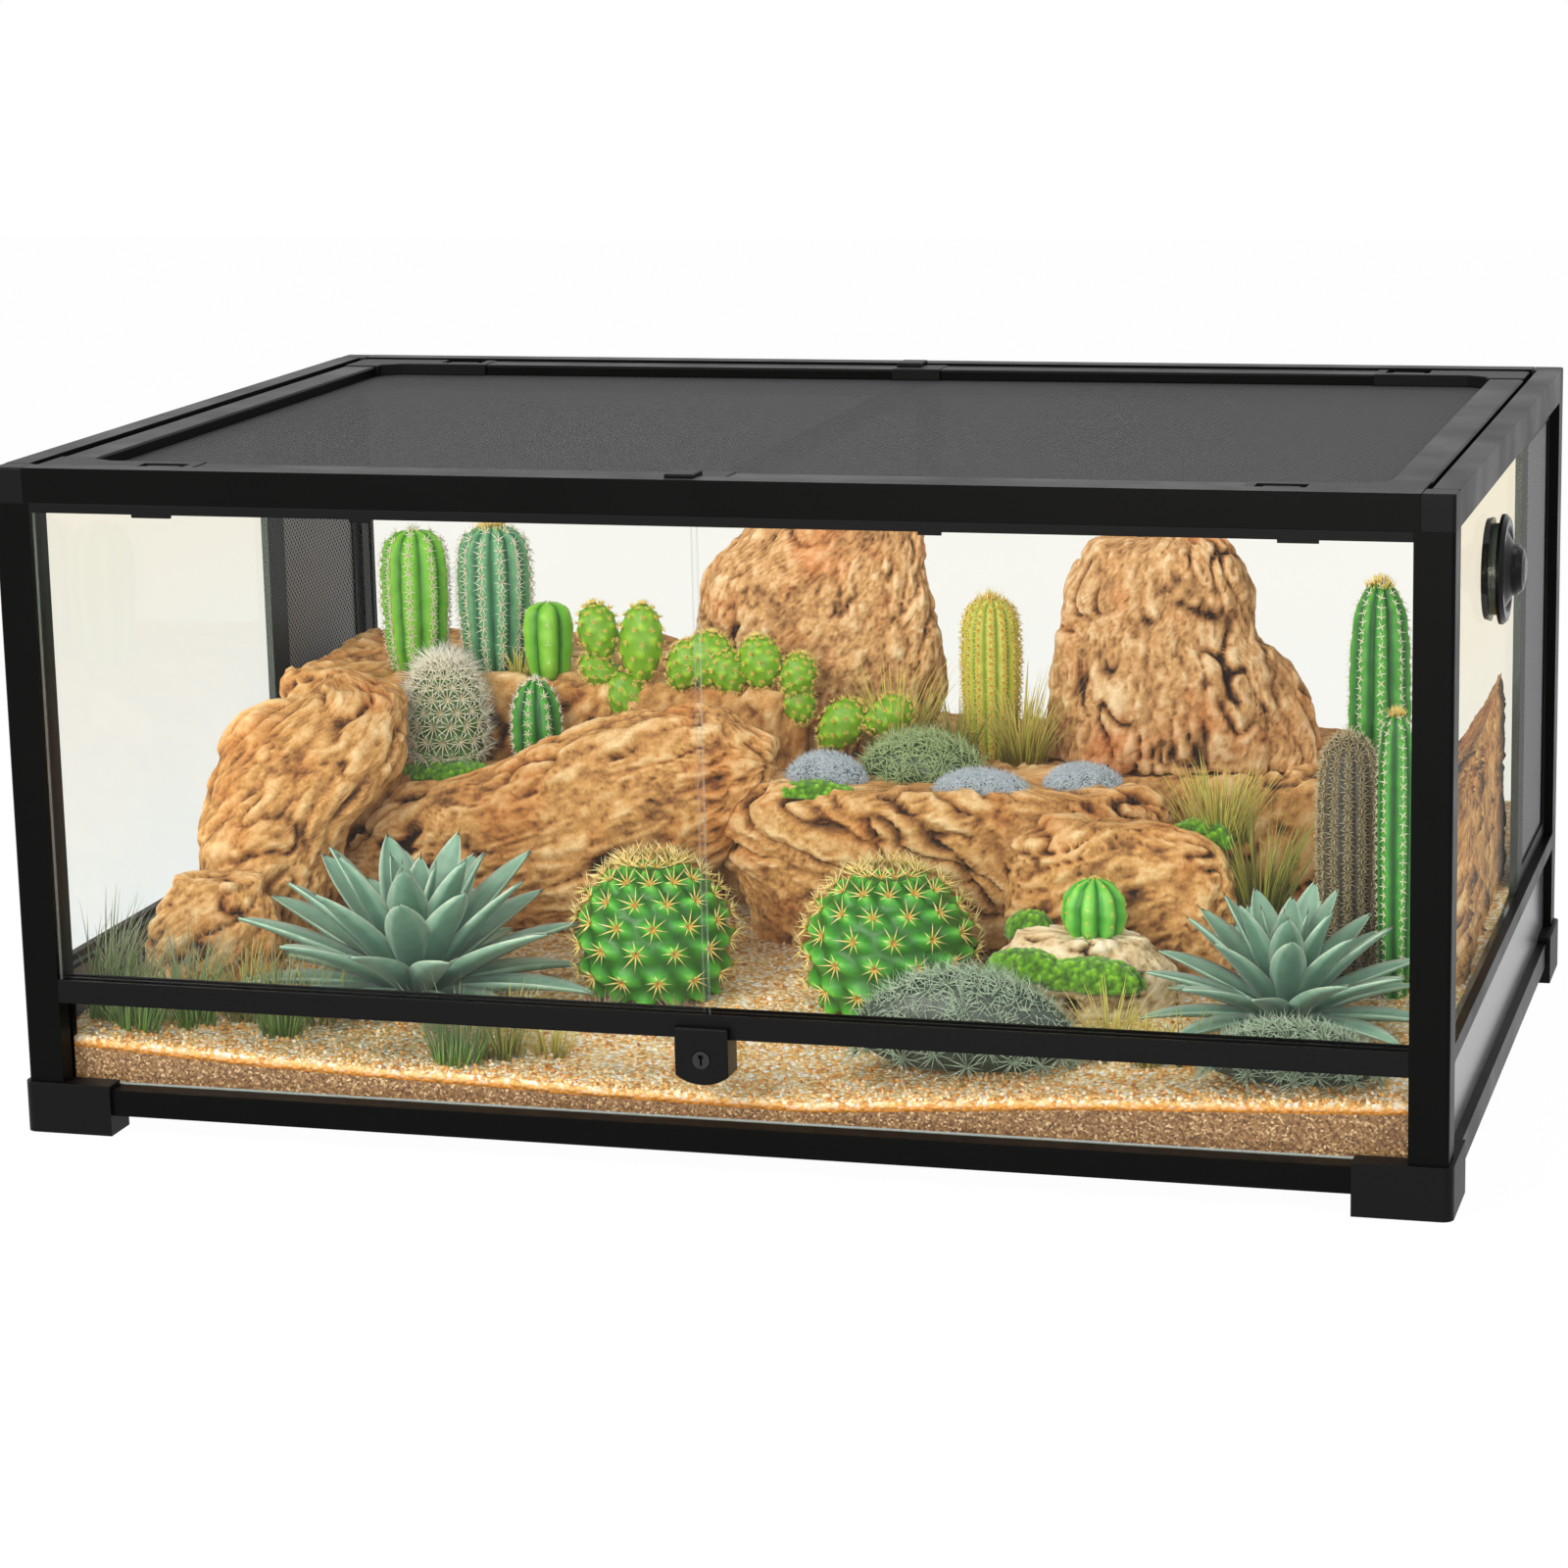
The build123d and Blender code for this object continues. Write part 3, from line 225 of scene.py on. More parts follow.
# ---------------------------------------------------------------- lock
# A small housing clipped over the door track, moulded in black ABS with a polished mould, holds a
# turned zinc key cylinder, plated black, whose pin lifts the bolt between the doors.
polished_abs = new_finish("black_polished_abs")
soft_edge = add(polished_abs, "Bevel", {"Radius": 0.9 * MM}, samples=4)
where = add(polished_abs, "TexCoord")
flow = add(polished_abs, "TexNoise", {"Vector": where.outputs["Object"], "Scale": 1 / (14 * MM),
                                      "Detail": 2})
worn = add(polished_abs, "MapRange", {"Value": flow.outputs["Fac"], "To Min": 0.16, "To Max": 0.32})
gloss = add(polished_abs, "BsdfPrincipled", {
    "Base Color": linear("#060607"), "Roughness": worn.outputs["Result"], "Specular IOR Level": 0.14,
    "Normal": soft_edge.outputs["Normal"]})
add(polished_abs, "OutputMaterial", {"Surface": gloss.outputs[0]})
paint(polished_abs, "lock_housing")

# black-plated zinc: a metal, darkened, whose turned face catches a thin bright ring
plated_zinc = new_finish("black_plated_zinc")
soft_edge = add(plated_zinc, "Bevel", {"Radius": 0.3 * MM}, samples=4)
where = add(plated_zinc, "TexCoord")
turning = add(plated_zinc, "TexNoise", {"Vector": where.outputs["Object"], "Scale": 1 / (0.8 * MM)})
turned_bump = add(plated_zinc, "Bump", {"Height": turning.outputs["Fac"], "Strength": 0.15,
                                        "Distance": 0.1 * MM, "Normal": soft_edge.outputs["Normal"]})
zinc = add(plated_zinc, "BsdfPrincipled", {"Base Color": linear("#3a3a3c"), "Metallic": 1.0,
                                           "Roughness": 0.34, "Normal": turned_bump.outputs["Normal"]})
add(plated_zinc, "OutputMaterial", {"Surface": zinc.outputs[0]})
paint(plated_zinc, "lock_cylinder", "lock_bolt")


# ---------------------------------------------------------------- cable port
# A flanged ring clamps the bored side glass and a round cap turns in it; both are moulded ABS with
# a polished face, so the domed rim shows a clear highlight.
paint(polished_abs, "port_ring", "port_cap")


# ---------------------------------------------------------------- sand
# The lowest layer is fine brown desert sand, poured in and levelled. Its grains are quartz with
# some iron, so it looks speckled from near by and an even warm brown from further off.
SAND_GRAIN = 1.3 * MM       # real grains are about 0.4 mm, drawn coarser to show
desert_sand = new_finish("brown_desert_sand")
where = add(desert_sand, "TexCoord")
grains = add(desert_sand, "TexVoronoi", {"Vector": where.outputs["Object"], "Scale": 1 / SAND_GRAIN})
each = add(desert_sand, "SeparateColor", {"Color": grains.outputs["Color"]})
mix = add(desert_sand, "ValToRGB", {"Fac": each.outputs["Red"]}, stops=[
    (0.0, "#4f3520"), (0.25, "#765232"), (0.6, "#8c6842"), (0.85, "#a5815a"), (1.0, "#d8bb90")])
damp = add(desert_sand, "TexNoise", {"Vector": where.outputs["Object"], "Scale": 1 / (70 * MM),
                                     "Detail": 3})
shade = add(desert_sand, "MapRange", {"Value": damp.outputs["Fac"], "From Min": 0.3, "From Max": 0.7,
                                      "To Min": 0.86, "To Max": 1.06})
sand_colour = add(desert_sand, "VectorMath", {0: mix.outputs["Color"], "Scale": shade.outputs["Result"]},
                  operation="SCALE")
sand_bump = add(desert_sand, "Bump", {"Height": grains.outputs["Distance"], "Strength": 0.4,
                                      "Distance": 0.5 * MM})
sand = add(desert_sand, "BsdfPrincipled", {"Base Color": sand_colour.outputs["Vector"], "Roughness": 0.9,
                                           "Normal": sand_bump.outputs["Normal"]})
add(desert_sand, "OutputMaterial", {"Surface": sand.outputs[0]})
paint(desert_sand, "sand_bed")


# ---------------------------------------------------------------- gravel
# Over the sand lies a thin layer of washed golden quartz gravel, 2 to 3 mm, tipped in and raked.
# A line of orange fines has trickled down to the sand and shows along the front glass.
def new_piece():
    return {"points": [], "faces": [], "tone": [], "coat": []}


def put(piece, points, faces, tone=0.5, coat=0):
    """Adds points and faces to a piece. tone is one number or one for each point, coat the finish."""
    start = len(piece["points"])
    piece["points"] += points
    piece["faces"] += [[start + i for i in face] for face in faces]
    piece["tone"] += tone if isinstance(tone, list) else [tone] * len(points)
    piece["coat"] += [coat] * len(faces)


def place(name, piece, node, slot, *finishes, smooth=True):
    """Makes the piece's mesh, which rides on the tank and stands for its CAD node."""
    mesh = bpy.data.meshes.new(name)
    mesh.from_pydata([tuple(p) for p in piece["points"]], [], piece["faces"])
    for finish in finishes:
        mesh.materials.append(finish)
    mesh.polygons.foreach_set("material_index", piece["coat"])
    mesh.polygons.foreach_set("use_smooth", [smooth] * len(mesh.polygons))
    tones = mesh.attributes.new("tone", "FLOAT", "POINT")
    tones.data.foreach_set("value", piece["tone"])
    thing = bpy.data.objects.new(name, mesh)
    bpy.context.scene.collection.objects.link(thing)
    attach(thing, "root")
    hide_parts(node)
    return thing


GRAVEL_EDGE = ((-457, 60), (-290, 51), (-65, 45), (60, 43), (230, 55), (457, 65))   # x and height, mm
GRAVEL_FRONT, GRAVEL_SLOPE, GRAVEL_THICK = -283.7 * MM, 0.10, 6 * MM


def ground(x, y):
    """Height of the gravel at a place, in metres."""
    for (x0, z0), (x1, z1) in zip(GRAVEL_EDGE, GRAVEL_EDGE[1:]):
        if x <= x1 * MM:
            share = (x / MM - x0) / (x1 - x0)
            return (z0 + (z1 - z0) * share) * MM + GRAVEL_SLOPE * (y - GRAVEL_FRONT)
    return GRAVEL_EDGE[-1][1] * MM


GRAVEL_STEP = 5 * MM
low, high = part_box("gravel_layer")
POST_REACH = 13 * MM        # how far the corner posts stand in from the side glass
rows = round((high.y - low.y) / GRAVEL_STEP)
columns = round((high.x - low.x) / GRAVEL_STEP)
gravel = new_piece()
for side, tone in ((0, 1.0), (-GRAVEL_THICK, 0.0)):
    level_points = []
    for j in range(rows + 1):
        y = low.y + (high.y - low.y) * j / rows
        half = high.x - (POST_REACH if abs(y) > high.y - 13 * MM else 0)
        for i in range(columns + 1):
            x = -half + 2 * half * i / columns
            edge = i in (0, columns) or j in (0, rows)
            ripple = noise.fractal(Vector((x, y, 0)) / (18 * MM), 1.0, 2.0,
                                   3) * 1.6 * MM if side == 0 else 0
            level_points.append((x, y, ground(x, y) + side + (min(ripple, 0) if edge else ripple)))
    wide = columns + 1
    squares = [[j * wide + i, j * wide + i + 1, (j + 1) * wide + i + 1, (j + 1) * wide + i]
               for j in range(rows) for i in range(columns)]
    put(gravel, level_points, squares if side == 0 else [face[::-1] for face in squares], tone)
count = wide * (rows + 1)
rim = [i for i in range(columns)] + [j * wide + columns for j in range(rows)]
rim += [rows * wide + i for i in range(columns, 0, -1)] + [j * wide for j in range(rows, 0, -1)]
gravel["faces"] += [[b, a, a + count, b + count] for a, b in zip(rim, rim[1:] + rim[:1])]
gravel["coat"] += [0] * len(rim)

# quartz gravel: cream to gold grains, each its own colour, with painted shade in the gaps between them
GRAIN = 3.0 * MM
quartz_gravel = new_finish("golden_quartz_gravel")
where = add(quartz_gravel, "TexCoord")
grains = add(quartz_gravel, "TexVoronoi", {"Vector": where.outputs["Object"], "Scale": 1 / GRAIN})
each = add(quartz_gravel, "SeparateColor", {"Color": grains.outputs["Color"]})
golden = add(quartz_gravel, "ValToRGB", {"Fac": each.outputs["Green"]}, stops=[
    (0.0, "#cf8a38"), (0.2, "#ecb868"), (0.5, "#f6d598"), (0.75, "#fceac6"), (1.0, "#fffaf0")])
# painted shade between the grains
gap_shade = add(quartz_gravel, "MapRange", {"Value": grains.outputs["Distance"], "From Min": 0.35,
                                       "From Max": 0.75, "To Min": 1.0, "To Max": 0.68})
shaded = add(quartz_gravel, "VectorMath", {0: golden.outputs["Color"], "Scale": gap_shade.outputs["Result"]},
             operation="SCALE")
depth = add(quartz_gravel, "Attribute", attribute_name="tone")
fines = add(quartz_gravel, "MapRange", {"Value": depth.outputs["Fac"], "From Min": 0.15, "From Max": 0.98,
                                        "To Min": 1.0, "To Max": 0.0})
layered = add(quartz_gravel, "Mix", {0: fines.outputs["Result"], 6: shaded.outputs["Vector"],
                                     7: linear("#d98a1f")}, data_type="RGBA")
heaped = add(quartz_gravel, "Bump", {"Height": grains.outputs["Distance"], "Strength": 0.9,
                                     "Distance": 1.4 * MM}, invert=True)
quartz = add(quartz_gravel, "BsdfPrincipled", {"Base Color": layered.outputs[2], "Roughness": 0.62,
                                               "Normal": heaped.outputs["Normal"]})
add(quartz_gravel, "OutputMaterial", {"Surface": quartz.outputs[0]})
place("gravel_bed", gravel, "gravel_layer", "gravel", quartz_gravel)

# loose grains on top, broken quartz with flat faces, thickest along the front glass
loose_grain = new_finish("loose_quartz_grain")
kind = add(loose_grain, "Attribute", attribute_name="tone")
grain_colour = add(loose_grain, "ValToRGB", {"Fac": kind.outputs["Fac"]}, stops=[
    (0.0, "#b06a26"), (0.12, "#dd9a48"), (0.45, "#f0bf76"), (0.8, "#f9deae"), (1.0, "#fff8e8")])
broken = add(loose_grain, "BsdfPrincipled", {"Base Color": grain_colour.outputs["Color"],
                                             "Roughness": 0.45})
add(loose_grain, "OutputMaterial", {"Surface": broken.outputs[0]})

GOLDEN_RATIO = (1 + sqrt(5)) / 2
CORNERS = [Vector(c).normalized() for c in (
    (-1, GOLDEN_RATIO, 0), (1, GOLDEN_RATIO, 0), (-1, -GOLDEN_RATIO, 0), (1, -GOLDEN_RATIO, 0),
    (0, -1, GOLDEN_RATIO), (0, 1, GOLDEN_RATIO), (0, -1, -GOLDEN_RATIO), (0, 1, -GOLDEN_RATIO),
    (GOLDEN_RATIO, 0, -1), (GOLDEN_RATIO, 0, 1), (-GOLDEN_RATIO, 0, -1), (-GOLDEN_RATIO, 0, 1))]
SIDES = [(0, 11, 5), (0, 5, 1), (0, 1, 7), (0, 7, 10), (0, 10, 11), (1, 5, 9), (5, 11, 4), (11, 10, 2),
         (10, 7, 6), (7, 1, 8), (3, 9, 4), (3, 4, 2), (3, 2, 6), (3, 6, 8), (3, 8, 9), (4, 9, 5), (2, 4,
                                                                                                   11),
         (6, 2, 10), (8, 6, 7), (9, 8, 1)]
chance = random.Random(7)
pebbles = new_piece()
for _ in range(5200):
    x = chance.uniform(-425, 425) * MM
    y = -282 * MM + 300 * MM * chance.random() ** 1.7
    size = chance.uniform(1.0, 1.9) * MM
    turn = Matrix.Rotation(chance.uniform(0, 2 * pi), 3, Vector((chance.random(), chance.random(),
                                                                 1)).normalized())
    middle = Vector((x, y, ground(x, y) + size * 0.4))
    put(pebbles, [middle + turn @ Vector((c.x, c.y * 0.8, c.z * 0.7)) * size * chance.uniform(0.8, 1.15)
                  for c in CORNERS], SIDES, chance.random())
place("gravel_grains", pebbles, "gravel_layer", "gravel", loose_grain, smooth=False)


# ---------------------------------------------------------------- sandstone
# The rocks are weathered desert sandstone, bedded in the gravel and glued together: golden brown,
# with painted shade in the cracks and hollows and a painted highlight on the crests.
def between(stations, at):
    """The values between stations, which start with their place, along a smooth curve."""
    last = len(stations) - 1
    n = max(k for k in range(last) if stations[k][0] <= at or k == 0)
    a, b = stations[n], stations[n + 1]
    before, after = stations[max(n - 1, 0)], stations[min(n + 2, last)]
    t = min(max((at - a[0]) / (b[0] - a[0]), 0), 1)
    values = []
    for p, q, r, s in zip(before[1:], a[1:], b[1:], after[1:]):
        values.append(q + 0.5 * t * ((r - p) + t * ((2 * p - 5 * q + 4 * r - s) + t * (3 * (q - r) + s - p))))
    return values


def uneven(a, wobble, turn):
    """The radius of a rock's outline at an angle, as its solid has it."""
    return 1 + wobble * (0.6 * sin(3 * a + turn) + 0.4 * sin(5 * a + 2.3 * turn) + 0.3 * cos(2 * a - turn))


def rock_rings(stations, lying=False, step=2.4, wobble=0.05, square=1.0):
    """Rings of points in mm: stations are (z, left, right, cy, ry), or lying (x, low, high, cy, ry)."""
    first, last = stations[0][0], stations[-1][0]
    count = round((last - first) / step)
    widest = max(max(s[2] - s[1], 2 * s[4]) for s in stations)
    around = max(48, round(widest * 2.6 / step))
    places = [(first, 0.12), (first, 0.5), (first, 0.8)] if lying else []
    places += [(first + (last - first) * k / count, 1.0) for k in range(count + 1)]
    places += [(last, 0.93), (last, 0.8), (last, 0.62), (last, 0.42), (last, 0.22), (last, 0.06)]
    rings = []
    for at, share in places:
        near, far, cy, ry = between(stations, at)
        mid, half = (near + far) / 2, (far - near) / 2
        ring = []
        for k in range(around):
            a = 2 * pi * k / around
            r = uneven(a, wobble, 0.4 * (len(stations) - 1) * (at - first) / (last - first)) * share
            c, s = cos(a), sin(a)
            u = abs(c) ** square * (1 if c > 0 else -1) * r
            v = abs(s) ** square * (1 if s > 0 else -1) * r
            if lying:
                ring.append(Vector((at, cy + ry * u, mid + half * v)))
            else:
                ring.append(Vector((mid + half * u, cy + ry * v, at)))
        rings.append(ring)
    return rings


def skin(rings, closed=True):
    """Points and faces through rings of one count, with both ends closed."""
    n = len(rings[0])
    points = [p for ring in rings for p in ring]
    faces = [[r * n + i, r * n + (i + 1) % n, (r + 1) * n + (i + 1) % n, (r + 1) * n + i]
             for r in range(len(rings) - 1) for i in range(n)]
    if closed:
        faces += [list(range(n))[::-1], [(len(rings) - 1) * n + i for i in range(n)]]
    return points, faces


def carve(rings, seed, way, lump=5.0, fold=4.0, fold_size=16.0, stretch=4.0, grit=0.5):
    """Weathers a rock, in mm: rounded lumps, folds along way with cracks between them, and grit.
    Returns points in metres, faces, and each point's tone: painted shade in the hollows and cracks, a painted
    highlight on the crests."""
    points, faces = skin(rings)
    mesh = bpy.data.meshes.new("carving")
    mesh.from_pydata([tuple(p) for p in points], [], faces)
    outward = [v.normal.copy() for v in mesh.vertices]
    bpy.data.meshes.remove(mesh)
    way = Vector(way).normalized()
    shift = Vector((seed * 7.3, seed * 3.1, seed * 5.7))
    moved, tones = [], []
    for p, out in zip(points, outward):
        big = noise.fractal(p / 62 + shift, 1.0, 2.0, 3)
        warped = p + Vector((noise.noise(p / 40 + shift), noise.noise(p / 40 - shift),
                             big)) * fold_size * 0.7
        along = warped.dot(way)
        q = (warped - way * along) / fold_size + way * (along / (fold_size * stretch)) + shift
        ridge = noise.noise(q)
        fine_ridge = noise.noise(q * 2.4 + shift)
        grain = noise.noise(q * 6.0 - shift)
        crack = max(0.0, 1 - abs(ridge) * 5.0) ** 2 * max(0.0, 0.5 + big * 2.2)
        fine_crack = max(0.0, 1 - abs(fine_ridge) * 5.0) ** 2
        pits = noise.noise(p / 5 + shift)
        deep = fold * (0.75 * abs(ridge) + 0.32 * fine_ridge + 0.18 * grain - 1.1 * crack - 0.25 * fine_crack)
        moved.append((p + out * (lump * big + deep + grit * pits)) * MM)
        # the tone paints light and shade: darker in cracks, folds and pits, lighter on lumps, ridges and
        # grain
        tones.append(min(1.0, max(0.0, 0.60 + 0.20 * big + 0.20 * fine_ridge + 0.22 * grain - 0.55 * crack
                                  - 0.26 * fine_crack + 0.14 * pits)))
    return moved, faces, tones


def sandstone(name, crest, face, hollow_shade, stain):
    """Weathered stone: painted shade in the hollows, a painted highlight on the crests, rusty stains, quite
    matt.
    """
    finish = new_finish(name)
    where = add(finish, "TexCoord")
    depth = add(finish, "Attribute", attribute_name="tone")
    # 2.2 mm stands for the half-millimetre grain of real sandstone, which wouldn't show
    speck = add(finish, "TexNoise", {"Vector": where.outputs["Object"], "Scale": 1 / (2.2 * MM),
                                     "Detail": 3,
                                     "Roughness": 0.65})
    patch = add(finish, "TexNoise", {"Vector": where.outputs["Object"], "Scale": 1 / (16 * MM), "Detail": 4,
                                     "Roughness": 0.6})
    rough_patch = add(finish, "Math", {0: patch.outputs["Fac"], 1: 0.55, 2: -0.275},
                      operation="MULTIPLY_ADD")
    rough_speck = add(finish, "Math", {0: speck.outputs["Fac"], 1: 0.44, 2: -0.22},
                      operation="MULTIPLY_ADD")
    both = add(finish, "Math", {0: rough_patch.outputs[0], 1: rough_speck.outputs[0]}, operation="ADD")
    painted_shading_and_mottle = add(finish, "Math", {0: depth.outputs["Fac"], 1: both.outputs[0]}, operation="ADD")
    # painted shade: near black in the cracks and the hollow colour in the hollows; the crest colour is a
    # painted highlight
    painted = add(finish, "ValToRGB", {"Fac": painted_shading_and_mottle.outputs[0]}, stops=[
        (0.05, "#2c190c"), (0.88, crest), (0.28, hollow_shade), (0.54, face)])
    stains = add(finish, "TexNoise", {"Vector": where.outputs["Object"], "Scale": 1 / (48 * MM),
                                      "Detail": 3})
    where_stained = add(finish, "MapRange", {"Value": stains.outputs["Fac"], "From Min": 0.52,
                                             "From Max": 0.68, "To Max": 0.5})
    stained = add(finish, "Mix", {0: where_stained.outputs["Result"], 6: painted.outputs["Color"],
                                  7: linear(stain)}, data_type="RGBA", blend_type="MULTIPLY")
    bump = add(finish, "Bump", {"Height": painted_shading_and_mottle.outputs[0], "Strength": 0.95, "Distance": 2.0 * MM})
    stone = add(finish, "BsdfPrincipled", {"Base Color": stained.outputs[2], "Roughness": 0.82,
                                           "Specular IOR Level": 0.3, "Normal": bump.outputs["Normal"]})
    add(finish, "OutputMaterial", {"Surface": stone.outputs[0]})
    return finish


golden_stone = sandstone("golden_sandstone", "#f2d3a0", "#cf9a5a", "#8a5c33", "#e8b070")
tawny_stone = sandstone("tawny_sandstone", "#f4d9ae", "#d09f68", "#8f643c", "#f2a04c")
pale_stone = sandstone("pale_sandstone", "#faf0da", "#e3cfa9", "#a98c62", "#e0c090")

big_left = new_piece()
put(big_left, *carve(rock_rings((
    (55, -430, -338, -84, 40), (110, -429, -332, -80, 44), (152, -427, -324, -68, 46),
    (182, -425, -297, -52, 44), (214, -413, -292, -36, 40), (236, -368, -300, -24, 30),
    (250, -352, -332, -20, 12))), 1, (0.6, 0.0, 0.8), lump=6, fold=6, fold_size=19, stretch=5))
place("big_left_rock", big_left, "rock_big_left", "sandstone", golden_stone)

log = new_piece()
put(log, *carve(rock_rings((
    (-340, 98, 128, -16, 12), (-300, 62, 168, -14, 24), (-231, 66, 188, -12, 34),
    (-182, 74, 212, -10, 36), (-124, 100, 229, -8, 34), (-68, 132, 231, -8, 28),
    (-40, 180, 210, -6, 14)), lying=True), 2, (0.93, 0.0, 0.34), lump=5, fold=6, fold_size=16, stretch=7))
place("log_rock", log, "rock_log", "sandstone", golden_stone)

ledge = new_piece()
put(ledge, *carve(rock_rings((
    (60, -58, 200, 12, 40), (112, -70, 214, 10, 42), (150, -84, 224, 8, 46),
    (170, -86, 226, 8, 48), (182, -68, 212, 10, 44)), wobble=0.04, square=0.8), 3, (0.85, 0.0, -0.5),
    lump=5, fold=7, fold_size=17, stretch=5))
place("ledge_rock", ledge, "rock_ledge", "sandstone", golden_stone)

tall_centre = new_piece()
put(tall_centre, *carve(rock_rings((
    (180, -146, 33, 136, 40), (214, -143, 42, 136, 40), (246, -138, 43, 136, 38),
    (274, -130, 39, 136, 35), (302, -123, 34, 136, 32), (334, -92, 31, 136, 26),
    (352, -70, 20, 136, 18)), wobble=0.04), 4, (0.12, 0.0, 1.0), lump=5, fold=3.4, fold_size=13, stretch=2.2))
place("tall_centre_rock", tall_centre, "rock_tall_centre", "sandstone", tawny_stone)

tall_right = new_piece()
put(tall_right, *carve(rock_rings((
    (180, 118, 308, 120, 46), (214, 122, 302, 120, 46), (246, 127, 290, 120, 42),
    (266, 132, 268, 120, 38), (304, 142, 266, 120, 34), (328, 154, 253, 120, 28),
    (340, 180, 236, 120, 16)), wobble=0.04), 5, (-0.15, 0.0, 1.0), lump=6, fold=4, fold_size=15, stretch=2.4))
place("tall_right_rock", tall_right, "rock_tall_right", "sandstone", tawny_stone)

# the slope is a slab of split stone that leans on the right glass, with long strands up it
slope_right = new_piece()
SLAB = ((396, 62), (394, 100), (396, 146), (402, 160), (412, 176), (424, 192), (433, 206), (435, 190),
        (435, 150), (435, 100), (435, 62))          # its section, x and z in mm
rings = []
for n in range(101):
    y = -92 + 2.4 * n
    end = max(0.0, 1 - (min(n, 100 - n) / 6) ** 0.5)
    ring = []
    for (x0, z0), (x1, z1) in zip(SLAB, SLAB[1:] + SLAB[:1]):
        for k in range(10):
            x, z = x0 + (x1 - x0) * k / 10, z0 + (z1 - z0) * k / 10
            ring.append(Vector((x + (414 - x) * end * 0.7, y,
                                62 + (z - 62) * (1 + 0.0012 * (y + 92)) * (1 - 0.3 * end))))
    rings.append(ring[::-1])
put(slope_right, *carve(rings, 6, (0.45, 0.72, 0.8), lump=1.5, fold=3.0, fold_size=7, stretch=9))
place("slope_right_rock", slope_right, "rock_slope_right", "sandstone", golden_stone)

low_rocks = new_piece()
put(low_rocks, *carve(rock_rings(((40, -436, -340, -152, 32), (96, -435, -342, -150, 30),
                                  (132, -414, -356, -146, 20))), 7, (1, 0, 0.4), lump=4, fold=4))
put(low_rocks, *carve(rock_rings(((60, 136, 284, -66, 26), (120, 134, 286, -66, 28), (160, 140, 274, -64,
                                                                                      24),
                                  (176, 160, 246, -62, 14))), 8, (1, 0, 0.15), lump=5, fold=5))
points, faces, tones = carve(rock_rings(((50, 140, 258, -126, 28), (98, 142, 256, -126, 27),
                                         (116, 156, 240, -124, 20))), 9, (1, 0, 0), lump=3, fold=3)
put(low_rocks, points, faces, tones, 1)
place("low_rocks", low_rocks, "rocks_loose", "sandstone", golden_stone, pale_stone)


# the terrace that carries the rear plants: three steps of the same stone, roughly squared
def step_rings(x0, x1, y0, y1, low, top, corner=22, step=5):
    """Rings of points in mm up the sides of a squared step of rock, over its round edge and its top."""
    long, deep = x1 - x0, y1 - y0
    outline = [(x0 + long * k / round(long / step), y0) for k in range(round(long / step))]
    outline += [(x1, y0 + deep * k / round(deep / step)) for k in range(round(deep / step))]
    outline += [(x1 - long * k / round(long / step), y1) for k in range(round(long / step))]
    outline += [(x0, y1 - deep * k / round(deep / step)) for k in range(round(deep / step))]
    places = [(low + (top - 12 - low) * k / round((top - 12 - low) / step), 0.0)
              for k in range(round((top - 12 - low) / step) + 1)]
    places += [(top - 12 + 12 * sin(a), 12 * (1 - cos(a))) for a in (0.4, 0.8, 1.15, 1.45)]
    places += [(top, inset) for inset in range(14, round(deep / 2) - 1, step)]
    rings = []
    for z, inset in places:
        ring = []
        for px, py in outline:
            core = Vector((min(x1 - corner, max(x0 + corner, px)), min(y1 - corner, max(y0 + corner, py))))
            out = (Vector((px, py)) - core).normalized()
            edge = core + out * corner
            ring.append(Vector((min(x1 - inset, max(x0 + inset, edge.x)),
                                min(y1 - inset, max(y0 + inset, edge.y)), z)))
        rings.append(ring)
    return rings


terrace = new_piece()
for seed, (x0, x1, y0, y1, top) in enumerate(((-425, -40, 60, 255, 232), (-425, -196, 4, 62, 176),
                                              (-40, 380, 60, 255, 180)), 10):
    put(terrace, *carve(step_rings(x0, x1, y0, y1, 60, top - 1, min(22, (y1 - y0) / 2 - 2)), seed, (0.3, 0,
                                                                                                    1),
                        lump=5, fold=5.5, fold_size=20, stretch=2.2))
place("terrace", terrace, "rock_terrace", "sandstone", golden_stone)


# ---------------------------------------------------------------- column cacti
# Each cactus is moulded in soft vinyl over a foam core, with painted shade in the furrows and a painted
# highlight on the ribs. Its spines are short nylon bristles set in tufts along the ribs.
def cactus_skin(name, furrow_shade, rib, crest):
    """Satin vinyl with painted shade in the furrows and a painted highlight on the crests, with a mottle of
    waxy bloom.
    """
    finish = new_finish(name)
    where = add(finish, "TexCoord")
    height = add(finish, "Attribute", attribute_name="tone")
    mottle = add(finish, "TexNoise", {"Vector": where.outputs["Object"], "Scale": 1 / (6 * MM),
                                      "Detail": 3})
    shift = add(finish, "Math", {0: mottle.outputs["Fac"], 1: 0.4, 2: -0.2}, operation="MULTIPLY_ADD")
    painted_shading_and_mottle = add(finish, "Math", {0: height.outputs["Fac"], 1: shift.outputs[0]}, operation="ADD")
    green = add(finish, "ValToRGB", {"Fac": painted_shading_and_mottle.outputs[0]}, stops=[
        (0.05, furrow_shade), (1.0, crest), (0.6, rib)])
    pores = add(finish, "Bump", {"Height": mottle.outputs["Fac"], "Strength": 0.25, "Distance": 0.6 * MM})
    vinyl = add(finish, "BsdfPrincipled", {
        "Base Color": green.outputs["Color"], "Roughness": 0.46, "Subsurface Weight": 0.08,
        "Subsurface Radius": (0.4 * MM, 1.2 * MM, 0.3 * MM), "Subsurface Scale": 1.0,
        "Normal": pores.outputs["Normal"]})
    add(finish, "OutputMaterial", {"Surface": vinyl.outputs[0]})
    return finish


